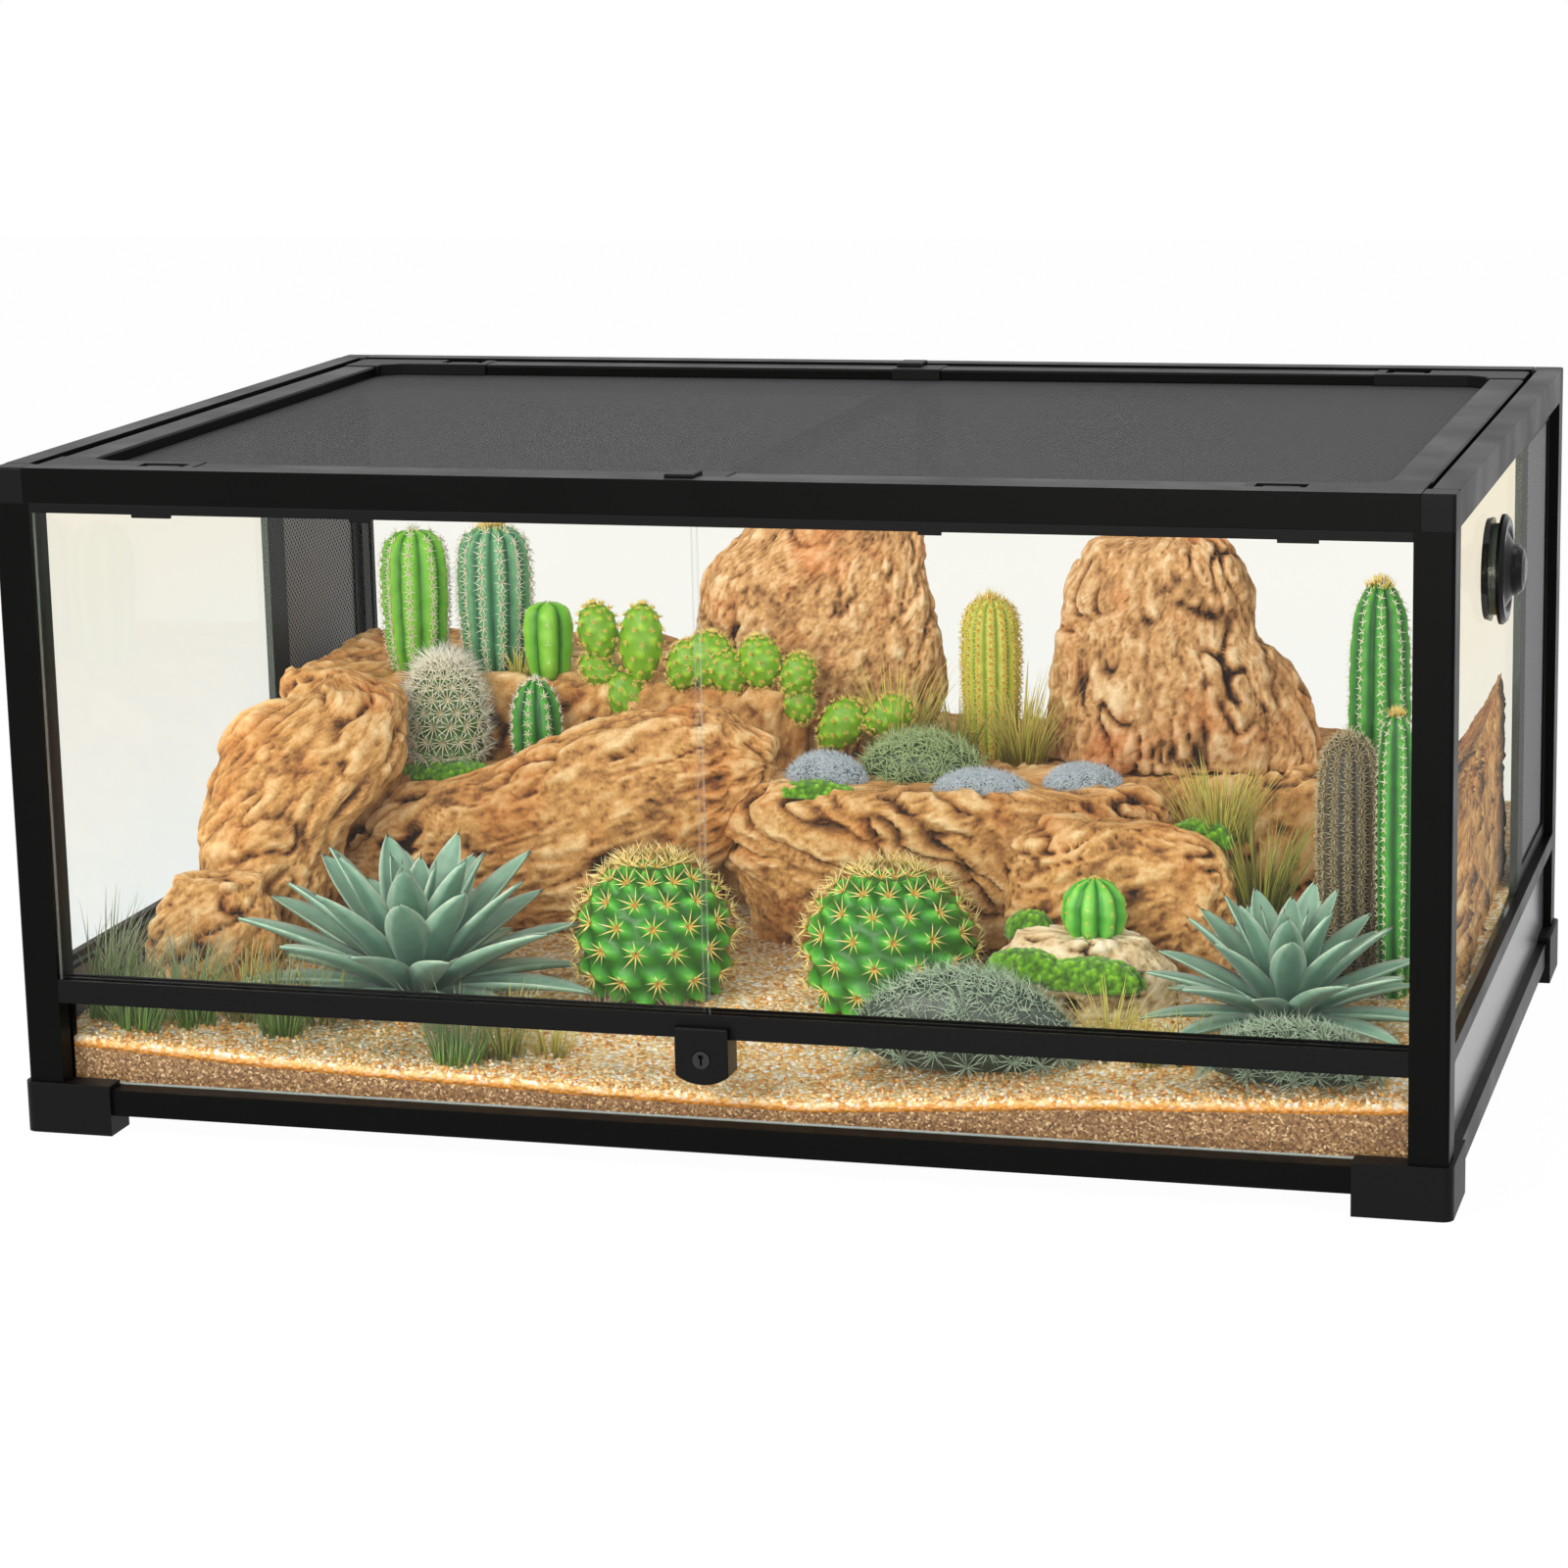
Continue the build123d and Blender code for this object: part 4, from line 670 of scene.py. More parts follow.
def bristle(name, root, tip):
    """Nylon bristle: pale and slightly translucent, coloured at the root."""
    finish = new_finish(name)
    along = add(finish, "Attribute", attribute_name="tone")
    colour = add(finish, "ValToRGB", {"Fac": along.outputs["Fac"]}, stops=[(0.0, root), (1.0, tip)])
    nylon = add(finish, "BsdfPrincipled", {"Base Color": colour.outputs["Color"], "Roughness": 0.4})
    add(finish, "OutputMaterial", {"Surface": nylon.outputs[0]})
    return finish


def spine(piece, root, tip, thick, coat, tones=(0.0, 1.0)):
    """A thin three-sided cone from root to tip, thick in metres."""
    along = (tip - root).normalized()
    side = along.orthogonal().normalized()
    other = along.cross(side)
    ring = [root + (side * cos(a) + other * sin(a)) * thick / 2 for a in (0, 2 * pi / 3, 4 * pi / 3)]
    put(piece, ring + [tip], [[0, 1, 3], [1, 2, 3], [2, 0, 3], [2, 1, 0]], [tones[0]] * 3 + [tones[1]],
        coat)


def tuft(piece, root, out, count, length, thick, spread, coat, chance):
    """Spines that fan out from one areole."""
    side = out.orthogonal().normalized()
    other = out.cross(side).normalized()
    start = chance.uniform(0, 2 * pi)
    for k in range(count):
        a = start + 2 * pi * k / count
        way = (out + (side * cos(a) + other * sin(a)) * spread * chance.uniform(0.7, 1.2)).normalized()
        spine(piece, root, root + way * length * chance.uniform(0.75, 1.15), thick, coat)


# how a cactus narrows: share of its height and of its radius
DOMED = ((0.0, 0.70), (0.15, 0.88), (0.55, 1.0), (0.82, 0.96), (0.93, 0.80), (0.985, 0.46), (1.0, 0.10))
BALL = ((0.0, 0.60), (0.2, 0.92), (0.45, 1.0), (0.7, 0.93), (0.88, 0.68), (0.97, 0.36), (1.0, 0.10))


def column(piece, x, y, foot, top, radius, ribs, spines, length, coats=(0, 1), pitch=7.0, deep=0.16,
           crown=0, spread=1.6, shape=DOMED, thick=1.3):
    """A ribbed column, in mm, with tufts of spines down each rib and a crown of longer ones."""
    chance = random.Random(round(x * 7 + y))
    around, levels = ribs * 8, max(24, round((top - foot) / 3))
    rings, tones = [], []
    for n in range(levels + 1):
        share = 1 - (1 - n / levels) ** 1.15
        r = between(shape, share)[0] * radius
        ring = []
        for k in range(around):
            a = 2 * pi * k / around
            rib = abs(cos(a * ribs / 2)) ** 0.7
            swell = 1 + 0.02 * sin(n * 0.9 + a * 2)
            ring.append(Vector((x + r * swell * (1 - deep + deep * rib) * cos(a),
                                y + r * swell * (1 - deep + deep * rib) * sin(a),
                                foot + (top - foot) * share)) * MM)
            # painted shade in the furrows, a painted highlight on the rib crests
            tones.append(0.12 + 0.78 * rib)
        rings.append(ring)
    points, faces = skin(rings)
    put(piece, points, faces, tones, coats[0])
    steps = round((top - foot) / pitch)
    for rib in range(ribs):
        a = 2 * pi * rib / ribs
        for n in range(1, steps + 1):
            share = (n - 0.4 * (rib % 2)) / steps
            r = between(shape, share)[0] * radius * 0.985
            lift = max(0.0, share - 0.72) * 3.0
            out = Vector((cos(a), sin(a), lift)).normalized()
            root = Vector((x + r * cos(a), y + r * sin(a), foot + (top - foot) * share)) * MM
            tuft(piece, root, out, spines, length * MM, thick * MM, spread, coats[1], chance)
    for _ in range(crown):
        a, lean = chance.uniform(0, 2 * pi), chance.uniform(0.05, 0.75)
        root = Vector((x + radius * 0.55 * lean * cos(a), y + radius * 0.55 * lean * sin(a),
                       top - radius * 0.35 * lean * lean)) * MM
        way = Vector((cos(a) * lean, sin(a) * lean, 1)).normalized()
        spine(piece, root, root + way * length * 1.35 * MM * chance.uniform(0.7, 1.2), 0.9 * MM, coats[-1])


deep_skin = cactus_skin("deep_green_vinyl", "#0a2f0c", "#20701f", "#5cb03c")
bright_skin = cactus_skin("bright_green_vinyl", "#23560f", "#5fae25", "#9ad24a")
blue_skin = cactus_skin("blue_green_vinyl", "#1b4530", "#42875a", "#86b688")
yellow_skin = cactus_skin("yellow_green_vinyl", "#6f7d18", "#a9b838", "#dcd65e")
brown_skin = cactus_skin("brown_green_vinyl", "#241c14", "#4b4130", "#75674a")
cream_bristle = bristle("cream_nylon_bristle", "#f0e6c4", "#fffdf4")
brown_bristle = bristle("brown_nylon_bristle", "#8a7448", "#efe3bc")
golden_bristle = bristle("golden_nylon_bristle", "#edc046", "#fff09a")

columns_piece = new_piece()
column(columns_piece, -327, 92, 230, 332, 24, 9, 6, 6.0, (0, 3), pitch=6.5)
column(columns_piece, -272, 104, 230, 334, 26, 12, 6, 7.0, (1, 3, 4), pitch=7.5, crown=160)
column(columns_piece, -226, 84, 230, 284, 18, 5, 3, 3.0, (0, 3), pitch=12.0, deep=0.28, thick=1.0)
column(columns_piece, 86, 112, 178, 290, 20, 14, 6, 5.5, (2, 4), pitch=5.0, crown=60, deep=0.10)
place("column_cacti", columns_piece, "cactus_columns", "cactus_green", bright_skin, blue_skin, yellow_skin,
      cream_bristle, golden_bristle)

tall_piece = new_piece()
column(tall_piece, 372, -18, 84, 330, 20, 9, 4, 4.2, (0, 3, 4), pitch=6.0, crown=160, deep=0.24)
column(tall_piece, 360, -68, 76, 240, 19, 13, 8, 7.0, (1, 5), pitch=6.5, deep=0.08, thick=1.2)
column(tall_piece, 394, -100, 74, 262, 11.5, 6, 4, 4.0, (0, 3, 4), pitch=6.0, crown=90, deep=0.24)
place("tall_right_cacti", tall_piece, "cactus_tall_right", "cactus_green", deep_skin, brown_skin,
      yellow_skin, cream_bristle, golden_bristle, brown_bristle)


# ---------------------------------------------------------------- barrel cacti
# The two big barrels are the same soft vinyl, pressed in a mould with spiral rows of tubercles, and
# each tubercle carries a star of golden bristles glued into a rust-red areole.
def barrel(piece, x, y, foot, top, radius, rows, spines, length, coats=(0, 1, 2), bump=0.10, twist=0.55,
           levels=9, thick=0.8):
    """A ball of tubercles in spirals, in mm, with a star of spines on each."""
    chance = random.Random(round(x * 3 - y))
    mid, half = foot + (top - foot) * 0.44, (top - foot)

    def surface(a, t, out=0.0):
        """A point of the ball: t from 0 at the foot to 1 at the top."""
        rise = -0.62 + (pi / 2 + 0.62) * t
        rr, zz = cos(rise) ** 0.9, sin(rise)
        up = zz * half * (0.56 if zz > 0 else 0.70)
        return Vector((x + (radius + out) * rr * cos(a), y + (radius + out) * rr * sin(a),
                       mid + up + out * zz))

    around, steps = rows * 8, levels * 7
    rings, tones = [], []
    for n in range(steps + 1):
        t = min(n / steps, 0.995)
        ring = []
        for k in range(around):
            a = 2 * pi * k / around
            u, v = rows * a / (2 * pi) + twist * t * levels, t * levels
            knob = (0.5 + 0.5 * cos(2 * pi * u)) ** 0.8 * (0.55 + 0.45 * cos(2 * pi * v))
            fade = min(1.0, (1 - t) * 5)
            ring.append(surface(a, t, radius * bump * (knob * fade - 0.4)) * MM)
            # painted shade between the tubercles, a painted highlight on their tops
            tones.append(0.10 + 0.85 * knob)
        rings.append(ring)
    points, faces = skin(rings)
    put(piece, points, faces, tones, coats[0])
    for v in range(1, levels):
        t = v / levels
        for k in range(rows):
            a = 2 * pi * (k - twist * v) / rows
            root = surface(a, t, radius * bump * 0.5) * MM
            out = (surface(a, t, 10) - surface(a, t, 0)).normalized()
            for j in range(6):
                b = 2 * pi * j / 6
                side = out.orthogonal().normalized()
                put_at = root + (side * cos(b) + out.cross(side) * sin(b)) * 0.5 * MM
                spine(piece, put_at, put_at + out * 1.0 * MM, 0.7 * MM, coats[2])
            size = length * (1 + 0.9 * max(0.0, t - 0.6))
            tuft(piece, root, out, spines, size * MM, thick * MM, 1.5 - 0.9 * max(0.0, t - 0.55), coats[1],
                 chance)


barrel_skin = cactus_skin("barrel_green_vinyl", "#1c5512", "#46a42c", "#8ed657")
barrel_bristle = bristle("barrel_golden_bristle", "#efc056", "#fff6b4")
areole = bristle("rust_red_areole", "#a1481e", "#d98a4a")
barrels = new_piece()
barrel(barrels, -90, -114, 61, 148, 49, 13, 8, 13, levels=7, bump=0.13, thick=1.7)
barrel(barrels, 70, -114, 60, 148, 53, 13, 8, 13, levels=7, bump=0.13, thick=1.7)
place("barrel_pair", barrels, "barrel_cacti", "cactus_green", barrel_skin, barrel_bristle, areole)

small_piece = new_piece()
barrel(small_piece, -286, 33, 174, 248, 26, 15, 11, 15, (0, 2, 2), levels=10, thick=1.2, bump=0.06)
column(small_piece, -222, 41, 174, 237, 18, 8, 6, 5.0, (4, 2), pitch=7.0, deep=0.2, shape=BALL)
column(small_piece, 206, -122, 112, 153, 21, 8, 3, 2.0, (1, 3), pitch=9.0, deep=0.3, shape=BALL, crown=24)
place("small_cacti", small_piece, "cactus_small", "cactus_green",
      cactus_skin("grey_green_vinyl", "#33521f", "#5f8a3a", "#93b56a"), barrel_skin, cream_bristle,
      golden_bristle, deep_skin)


# ---------------------------------------------------------------- prickly pears
# Flat vinyl pads stand in the stone one on another, each covered with raised dots that carry a pinch
# of short golden bristles.
def pear_pad(piece, x, y, z, wide, tall, thick, lean=0.0, swing=0.0, coats=(0, 1)):
    """A flattened pad, in mm, that stands on its narrow end, with dots in offset rows."""
    chance = random.Random(round(x * 5 + z))
    turn = Matrix.Rotation(radians(swing), 3, "Z") @ Matrix.Rotation(radians(lean), 3, "Y")
    foot = Vector((x, y, z))

    def surface(a, t, out=0.0):
        rise = -pi / 2 + pi * t
        width = (0.62 + 0.42 * t ** 0.6) * cos(rise)
        return foot + turn @ Vector(((wide + out) * width * cos(a),
                                     (thick + out) * cos(rise) ** 0.8 * sin(a),
                                     tall * (1 + sin(rise)) + out * sin(rise)))
    around, steps = 40, 26
    rings, tones = [], []
    for n in range(steps + 1):
        t = 0.02 + 0.96 * n / steps
        ring = []
        for k in range(around):
            a = 2 * pi * k / around
            knob = max(0.0, cos(5 * a + (pi if round(t * 9) % 2 else 0))) * max(0.0, cos(2 * pi * (t * 9)))
            ring.append(surface(a, t, 2.4 * knob) * MM)
            # the raised dots painted lighter, a painted highlight
            tones.append(0.45 + 0.5 * knob)
        rings.append(ring)
    points, faces = skin(rings)
    put(piece, points, faces, tones, coats[0])
    for v in range(1, 10):
        for k in range(8):
            a, t = 2 * pi * (k + 0.5 * (v % 2)) / 8, v / 9 - 0.03
            root = surface(a, t, 0.6) * MM
            out = (surface(a, t, 8) - surface(a, t, 0)).normalized()
            tuft(piece, root, out, 6, 4.4 * MM, 1.1 * MM, 0.9, coats[1], chance)


pear_skin = cactus_skin("pear_green_vinyl", "#3c7410", "#7fb320", "#d8e440")
pears = new_piece()
for x, y, z, wide, tall, thick, lean, swing in (
        (-190, 72, 230, 17, 10, 11, 30, 10), (-182, 74, 246, 15, 20, 11, -10, 14), (-156, 72, 230, 17, 28,
                                                                                    11, 4, -6),
        (-176, 66, 214, 20, 14, 10, 60, 8), (-128, 70, 228, 15, 18, 10, 24, 0), (-108, 70, 230, 19, 19, 11,
                                                                                 10, 8),
        (-84, 70, 226, 14, 16, 10, -24, 20), (-66, 70, 230, 17, 18, 11, -6, -10), (-46, 70, 226, 13, 15,
                                                                                   10, 20, 0),
        (-24, 72, 190, 16, 20, 11, 40, 4), (6, 72, 206, 14, 18, 10, 66, 6), (-38, 74, 206, 14, 15, 10, -20,
                                                                             0)):
    pear_pad(pears, x, y, z, wide, tall, thick, lean, swing)
place("prickly_pears", pears, "prickly_pear", "cactus_green", pear_skin, golden_bristle)


# ---------------------------------------------------------------- agaves
# Rosettes of stiff leaves, each injection moulded in soft PVC and pushed into a central boss: broad,
# channelled, blue-green with a waxy bloom, paler along the margin, with a small brown tip.
waxy_leaf = new_finish("waxy_blue_green_pvc")
where = add(waxy_leaf, "TexCoord")
part_of_leaf = add(waxy_leaf, "Attribute", attribute_name="tone")
bloom = add(waxy_leaf, "TexNoise", {"Vector": where.outputs["Object"], "Scale": 1 / (9 * MM), "Detail": 4})
shift = add(waxy_leaf, "Math", {0: bloom.outputs["Fac"], 1: 0.35, 2: -0.175}, operation="MULTIPLY_ADD")
painted_shading_and_mottle = add(waxy_leaf, "Math", {0: part_of_leaf.outputs["Fac"], 1: shift.outputs[0]}, operation="ADD")
leaf_colour = add(waxy_leaf, "ValToRGB", {"Fac": painted_shading_and_mottle.outputs[0]}, stops=[
    (0.0, "#2b4a3c"), (1.0, "#d3e0c6"), (0.35, "#567e6a"), (0.7, "#86ab93")])
grain = add(waxy_leaf, "Bump", {"Height": bloom.outputs["Fac"], "Strength": 0.2, "Distance": 0.6 * MM})
waxy = add(waxy_leaf, "BsdfPrincipled", {"Base Color": leaf_colour.outputs["Color"], "Roughness": 0.5,
                                         "Sheen Weight": 0.15, "Normal": grain.outputs["Normal"]})
add(waxy_leaf, "OutputMaterial", {"Surface": waxy.outputs[0]})
brown_tip = bristle("brown_leaf_tip", "#6b4a2e", "#3a2416")


FRONT_REACH = -277 * MM      # as near to the doors as a leaf comes


def agave_leaf(piece, heart, turn, length, wide, rise, droop, chance):
    """One channelled leaf from the heart, in metres: rise is its slope at the root, droop its bend."""
    way, side = Vector((cos(turn), sin(turn), 0)), Vector((-sin(turn), cos(turn), 0))
    twist = chance.uniform(-0.15, 0.15)
    spots, slope, at = [], rise, heart.copy()
    for n in range(17):
        spots.append((at.copy(), slope))
        at = at + (way * cos(slope) + Vector((0, 0, sin(slope)))) * length / 16
        slope += droop / 16
    past = FRONT_REACH - spots[-1][0].y
    if past > 0:      # a leaf that would pass the doors is a shorter one
        spots = [(heart + (p - heart) * (1 - past / (heart.y - spots[-1][0].y)), slope) for p,
                 slope in spots]
    rings, tones = [], []
    for n, (p, slope) in enumerate(spots):
        t = n / 16
        half = wide / 2 * (0.42 + 1.32 * t - 1.02 * t * t) * (1 - t ** 5) ** 0.9 + 0.0003
        thick = (0.0042 * (1 - t) + 0.0010) * length / 0.11
        up = (way * -sin(slope) + Vector((0, 0, cos(slope))) + side * twist * t).normalized()
        ring = []
        for v, top in ((-1, 0.5), (-0.6, -0.1), (-0.2, -0.35), (0.2, -0.35), (0.6, -0.1), (1, 0.5),
                       (0.55, -1.0), (0, -1.5), (-0.55, -1.0)):
            ring.append(p + side * half * v + up * (thick * top + half * 0.20 * abs(v) * abs(v)))
            margin = 0.34 if abs(v) == 1 else 0.0
            # paler along the margin; darker towards the root and on the underside, a painted shade
            tones.append(0.20 + 0.42 * t ** 0.6 + margin - (0.14 if top < -0.5 else 0))
        rings.append(ring)
    points, faces = skin(rings)
    put(piece, points, faces, tones, 0)
    end, slope = spots[-1]
    forward = way * cos(slope) + Vector((0, 0, sin(slope)))
    spine(piece, end - forward * 0.002, end + forward * 0.004, 0.0016, 1)


def rosette(piece, x, y, spread, seed):
    """Whorls of leaves round the heart, the inner ones steeper, and a closed bud, in mm."""
    chance = random.Random(seed)
    heart = Vector((x * MM, y * MM, ground(x * MM, y * MM) + 9 * MM))
    for ring, (count, reach, rise, droop, wide) in enumerate((
            (9, 1.00, 0.26, -0.40, 0.26), (10, 0.98, 0.55, -0.30, 0.29), (9, 0.92, 0.88, -0.22, 0.31),
            (7, 0.86, 1.15, -0.12, 0.31), (4, 0.70, 1.38, 0.00, 0.29))):
        for k in range(count):
            turn = 2 * pi * (k + 0.5 * (ring % 2) + chance.uniform(-0.14, 0.14)) / count
            out = Vector((cos(turn), sin(turn), 0))
            agave_leaf(piece, heart + out * (12 - 2.4 * ring) * MM * spread / 118 + Vector((0, 0,
                                                                                            ring * 3 * MM)),
                       turn, spread * reach * MM * chance.uniform(0.93, 1.05), spread * wide * MM,
                       rise + chance.uniform(-0.06, 0.06), droop, chance)


for name, x, y, spread, seed in (("left", -236, -172, 114, 3), ("right", 336, -168, 88, 8)):
    agave = new_piece()
    rosette(agave, x, y, spread, seed)
    place(f"agave_{name}_leaves", agave, f"agave_{name}", "agave_leaf", waxy_leaf, brown_tip)


# ---------------------------------------------------------------- cushion plants
# Low cushions of needle foliage: extruded polythene needles, welded in stars and pushed into a dome
# of foam, painted dark as the shade inside the cushion. The rear ones are silver blue, the others a dusty
# green.
TUCKED_IN = ((0.0, 0.66), (0.14, 0.92), (0.3, 1.0), (0.55, 0.92), (0.78, 0.70), (0.93, 0.38), (1.0, 0.10))


def cushion(piece, x, y, foot, top, rx, ry, stars, length, coat, needles=13, thick=1.3):
    """A dome of needle stars, in mm."""
    chance = random.Random(round(x * 11 + y))
    rings = []
    for n in range(13):
        r = between(TUCKED_IN, n / 12)[0] * 0.86
        rings.append([Vector((x + rx * r * cos(a), y + ry * r * sin(a),
                              foot + (top - foot) * 0.84 * n / 12)) * MM
                      for a in (2 * pi * k / 32 for k in range(32))])
    points, faces = skin(rings)
    # the foam dome takes the dark root end of the needle colour, a painted shade inside the cushion
    put(piece, points, faces, 0.05, coat)
    for n in range(stars):
        high = 0.06 + 0.94 * ((n + 0.5) / stars) ** 0.9
        a = n * 2.39996 + chance.uniform(-0.2, 0.2)
        r = sqrt(max(0.0, 1 - high * high))
        root = Vector((x + rx * 0.84 * r * cos(a), y + ry * 0.84 * r * sin(a),
                       foot + (top - foot) * 0.82 * high))
        out = Vector((cos(a) * r / rx, sin(a) * r / ry, high / (top - foot))).normalized()
        side = out.orthogonal().normalized()
        other = out.cross(side)
        for k in range(needles):
            b = 2 * pi * k / needles + chance.uniform(-0.2, 0.2)
            lean = chance.uniform(1.2, 3.2)
            way = (out + (side * cos(b) + other * sin(b)) * lean).normalized()
            way.z = max(way.z, -0.5)
            # the needles are darker at the root, a painted shade inside the cushion
            spine(piece, root * MM, (root + way * length * chance.uniform(0.7, 1.1)) * MM, thick * MM, coat,
                  (0.75, 1.0))


silver_needle = bristle("silver_blue_needle", "#46535a", "#d4dee6")
dusty_needle = bristle("dusty_green_needle", "#15231a", "#b4c8ac")
sage_needle = bristle("sage_green_needle", "#1f3a1c", "#b6cb92")
cushions = new_piece()
star_share = 1.0
for x, y, foot, top, rx, ry, stars, length, coat in (
        (58, 26, 176, 216, 48, 22, 90, 17, 2), (-2, -2, 178, 204, 31, 14, 130, 9, 0),
        (108, -12, 178, 197, 36, 12, 130, 9, 0), (172, 10, 178, 199, 30, 15, 130, 9, 0),
        (146, -228, 57, 127, 82, 27, 130, 19, 1), (354, -254, 66, 107, 62, 15, 90, 16, 1)):
    cushion(cushions, x, y, foot, top, rx, ry, round(stars * star_share), length, coat)
place("cushion_foliage", cushions, "cushion_plants", "cushion_plant", silver_needle, dusty_needle,
      sage_needle)


# ---------------------------------------------------------------- moss
# Small pads of preserved moss, dyed a yellow green, are glued on the rocks. The tufts are a few
# millimetres across, soft and quite matt.
dyed_moss = new_finish("dyed_cushion_moss")
where = add(dyed_moss, "TexCoord")
high_of = add(dyed_moss, "Attribute", attribute_name="tone")
tufts = add(dyed_moss, "TexNoise", {"Vector": where.outputs["Object"], "Scale": 1 / (2.5 * MM),
                                    "Detail": 3})
shift = add(dyed_moss, "Math", {0: tufts.outputs["Fac"], 1: 0.7, 2: -0.35}, operation="MULTIPLY_ADD")
painted_shading_and_mottle = add(dyed_moss, "Math", {0: high_of.outputs["Fac"], 1: shift.outputs[0]}, operation="ADD")
moss_colour = add(dyed_moss, "ValToRGB", {"Fac": painted_shading_and_mottle.outputs[0]}, stops=[
    (0.05, "#2c5208"), (0.95, "#b6e23e"), (0.5, "#6aa617")])
fluff = add(dyed_moss, "Bump", {"Height": tufts.outputs["Fac"], "Strength": 0.9, "Distance": 1.2 * MM})
soft = add(dyed_moss, "BsdfPrincipled", {"Base Color": moss_colour.outputs["Color"], "Roughness": 0.95,
                                         "Sheen Weight": 0.3, "Normal": fluff.outputs["Normal"]})
add(dyed_moss, "OutputMaterial", {"Surface": soft.outputs[0]})


def moss_pad(piece, x, y, foot, top, rx, ry):
    """A lumpy pad of moss tufts, in mm."""
    around, levels = round((rx + ry) * 2.4), round((rx + ry) * 0.3) + 8
    rings, tones = [], []
    for n in range(levels + 1):
        t = n / levels
        ring = []
        for k in range(around):
            a = 2 * pi * k / around
            r = cos(t * pi / 2 * 0.99) * (1 + 0.10 * sin(3 * a + x) + 0.06 * sin(7 * a))
            p = Vector((x + rx * r * cos(a), y + ry * r * sin(a),
                        foot + (top - foot) * sin(t * pi / 2) ** 0.8))
            spread, _ = noise.voronoi(p / 4.2)
            tuft_high = max(0.0, 1 - spread[0] * 1.5)
            ring.append((p + Vector((cos(a) * r * 0.4, sin(a) * r * 0.4, 1)) * 2.0 * tuft_high) * MM)
            # the tuft tops painted light and the hollows between them dark, a painted shade
            tones.append(0.15 + 0.7 * tuft_high)
        rings.append(ring)
    points, faces = skin(rings)
    put(piece, points, faces, tones)


moss = new_piece()
for x, y, foot, top, rx, ry in ((168, -188, 66, 90, 34, 12), (-277, 12, 170, 184, 32, 14), (-4, -24, 176,
                                                                                            187, 26, 9),
                                (168, -150, 92, 112, 26, 12), (212, -150, 88, 108, 34, 14),
                                (262, -44, 158, 176, 22, 12), (162, -108, 108, 126, 16, 9)):
    moss_pad(moss, x, y, foot, top, rx, ry)
place("moss_tufts", moss, "moss_pads", "moss", dyed_moss)


# ---------------------------------------------------------------- grass and small succulents
# Tufts of dried and dyed grass are pushed into the gravel and between the rocks, with two small
# rosettes of red-tipped succulents by the door. Grass blades are thin, creased and bend outwards.
def grass(piece, x, y, foot, wide, tall, blades, coat, seed):
    """A tuft of creased blades, in mm, that lean out from its foot."""
    chance = random.Random(seed)
    for _ in range(blades):
        turn = chance.uniform(0, 2 * pi)
        away = sqrt(chance.random()) * wide * 0.35
        root = Vector((x + away * cos(turn), y + away * 0.7 * sin(turn), foot))
        lean, bend = chance.uniform(0.05, 0.5), chance.uniform(0.1, 0.9)
        length, half = tall * chance.uniform(0.55, 1.1), chance.uniform(0.6, 1.0)
        way = Vector((cos(turn), sin(turn), 0))
        far = sum(sin(lean + bend * n / 4) for n in range(4)) * length / 4
        if root.x + way.x * far < -439:      # a blade at the glass leans away from it
            way.x = abs(way.x)
        if root.y + way.y * far < -278:
            way.y = abs(way.y)
        side = Vector((-way.y, way.x, 0))
        points, tones, at = [], [], root.copy()
        for n in range(5):
            t = n / 4
            slope = pi / 2 - lean - bend * t
            fall = half * (1 - t) ** 0.7 + 0.05
            points += [at + side * fall, at - side * fall, at - way * fall * 0.6]
            tones += [0.1 + 0.9 * t] * 3
            at = at + (way * cos(slope) + Vector((0, 0, sin(slope)))) * length / 4
        faces = [[3 * n + i, 3 * n + (i + 1) % 3, 3 * n + 3 + (i + 1) % 3, 3 * n + 3 + i]
                 for n in range(4) for i in range(3)] + [[2, 1, 0], [12, 13, 14]]
        put(piece, [p * MM for p in points], faces, tones, coat)


olive_grass = bristle("olive_dried_grass", "#5d7020", "#c8c062")
green_grass = bristle("green_dyed_grass", "#6a9c22", "#8f8f78")
golden_grass = bristle("golden_dried_grass", "#8a8a2a", "#e6d670")
tufts_of_grass = new_piece()
for seed, (x, y, wide, tall, blades, coat) in enumerate((
        (-424, -244, 44, 84, 90, 1), (-396, -256, 50, 64, 110, 1), (-366, -240, 50, 72, 100, 1),
        (-336, -222, 44, 58, 70, 0), (-306, -240, 46, 62, 90, 1), (-288, -216, 36, 44, 40, 0),
        (-176, -262, 46, 56, 90, 1), (-150, -248, 40, 50, 60, 0), (-120, -240, 30, 40, 30, 2),
        (236, -214, 34, 52, 80, 2), (260, -226, 26, 38, 50, 2), (282, -222, 22, 40, 40, 0))):
    grass(tufts_of_grass, x, y, ground(x * MM, y * MM) / MM - 2, wide, tall, blades, coat, seed)
for seed, (x, y, foot, wide, tall, blades, coat) in enumerate((
        (24, 88, 180, 50, 72, 110, 2), (66, 96, 180, 34, 56, 60, 0), (114, 84, 180, 46, 66, 110, 2),
        (270, -30, 158, 60, 56, 180, 2), (300, -50, 116, 56, 72, 140, 0), (-246, 76, 230, 24, 24, 30, 2)),
        40):
    grass(tufts_of_grass, x, y, foot, wide, tall, blades, coat, seed)
place("grass_tufts", tufts_of_grass, "moss_pads", "moss", olive_grass, green_grass, golden_grass)

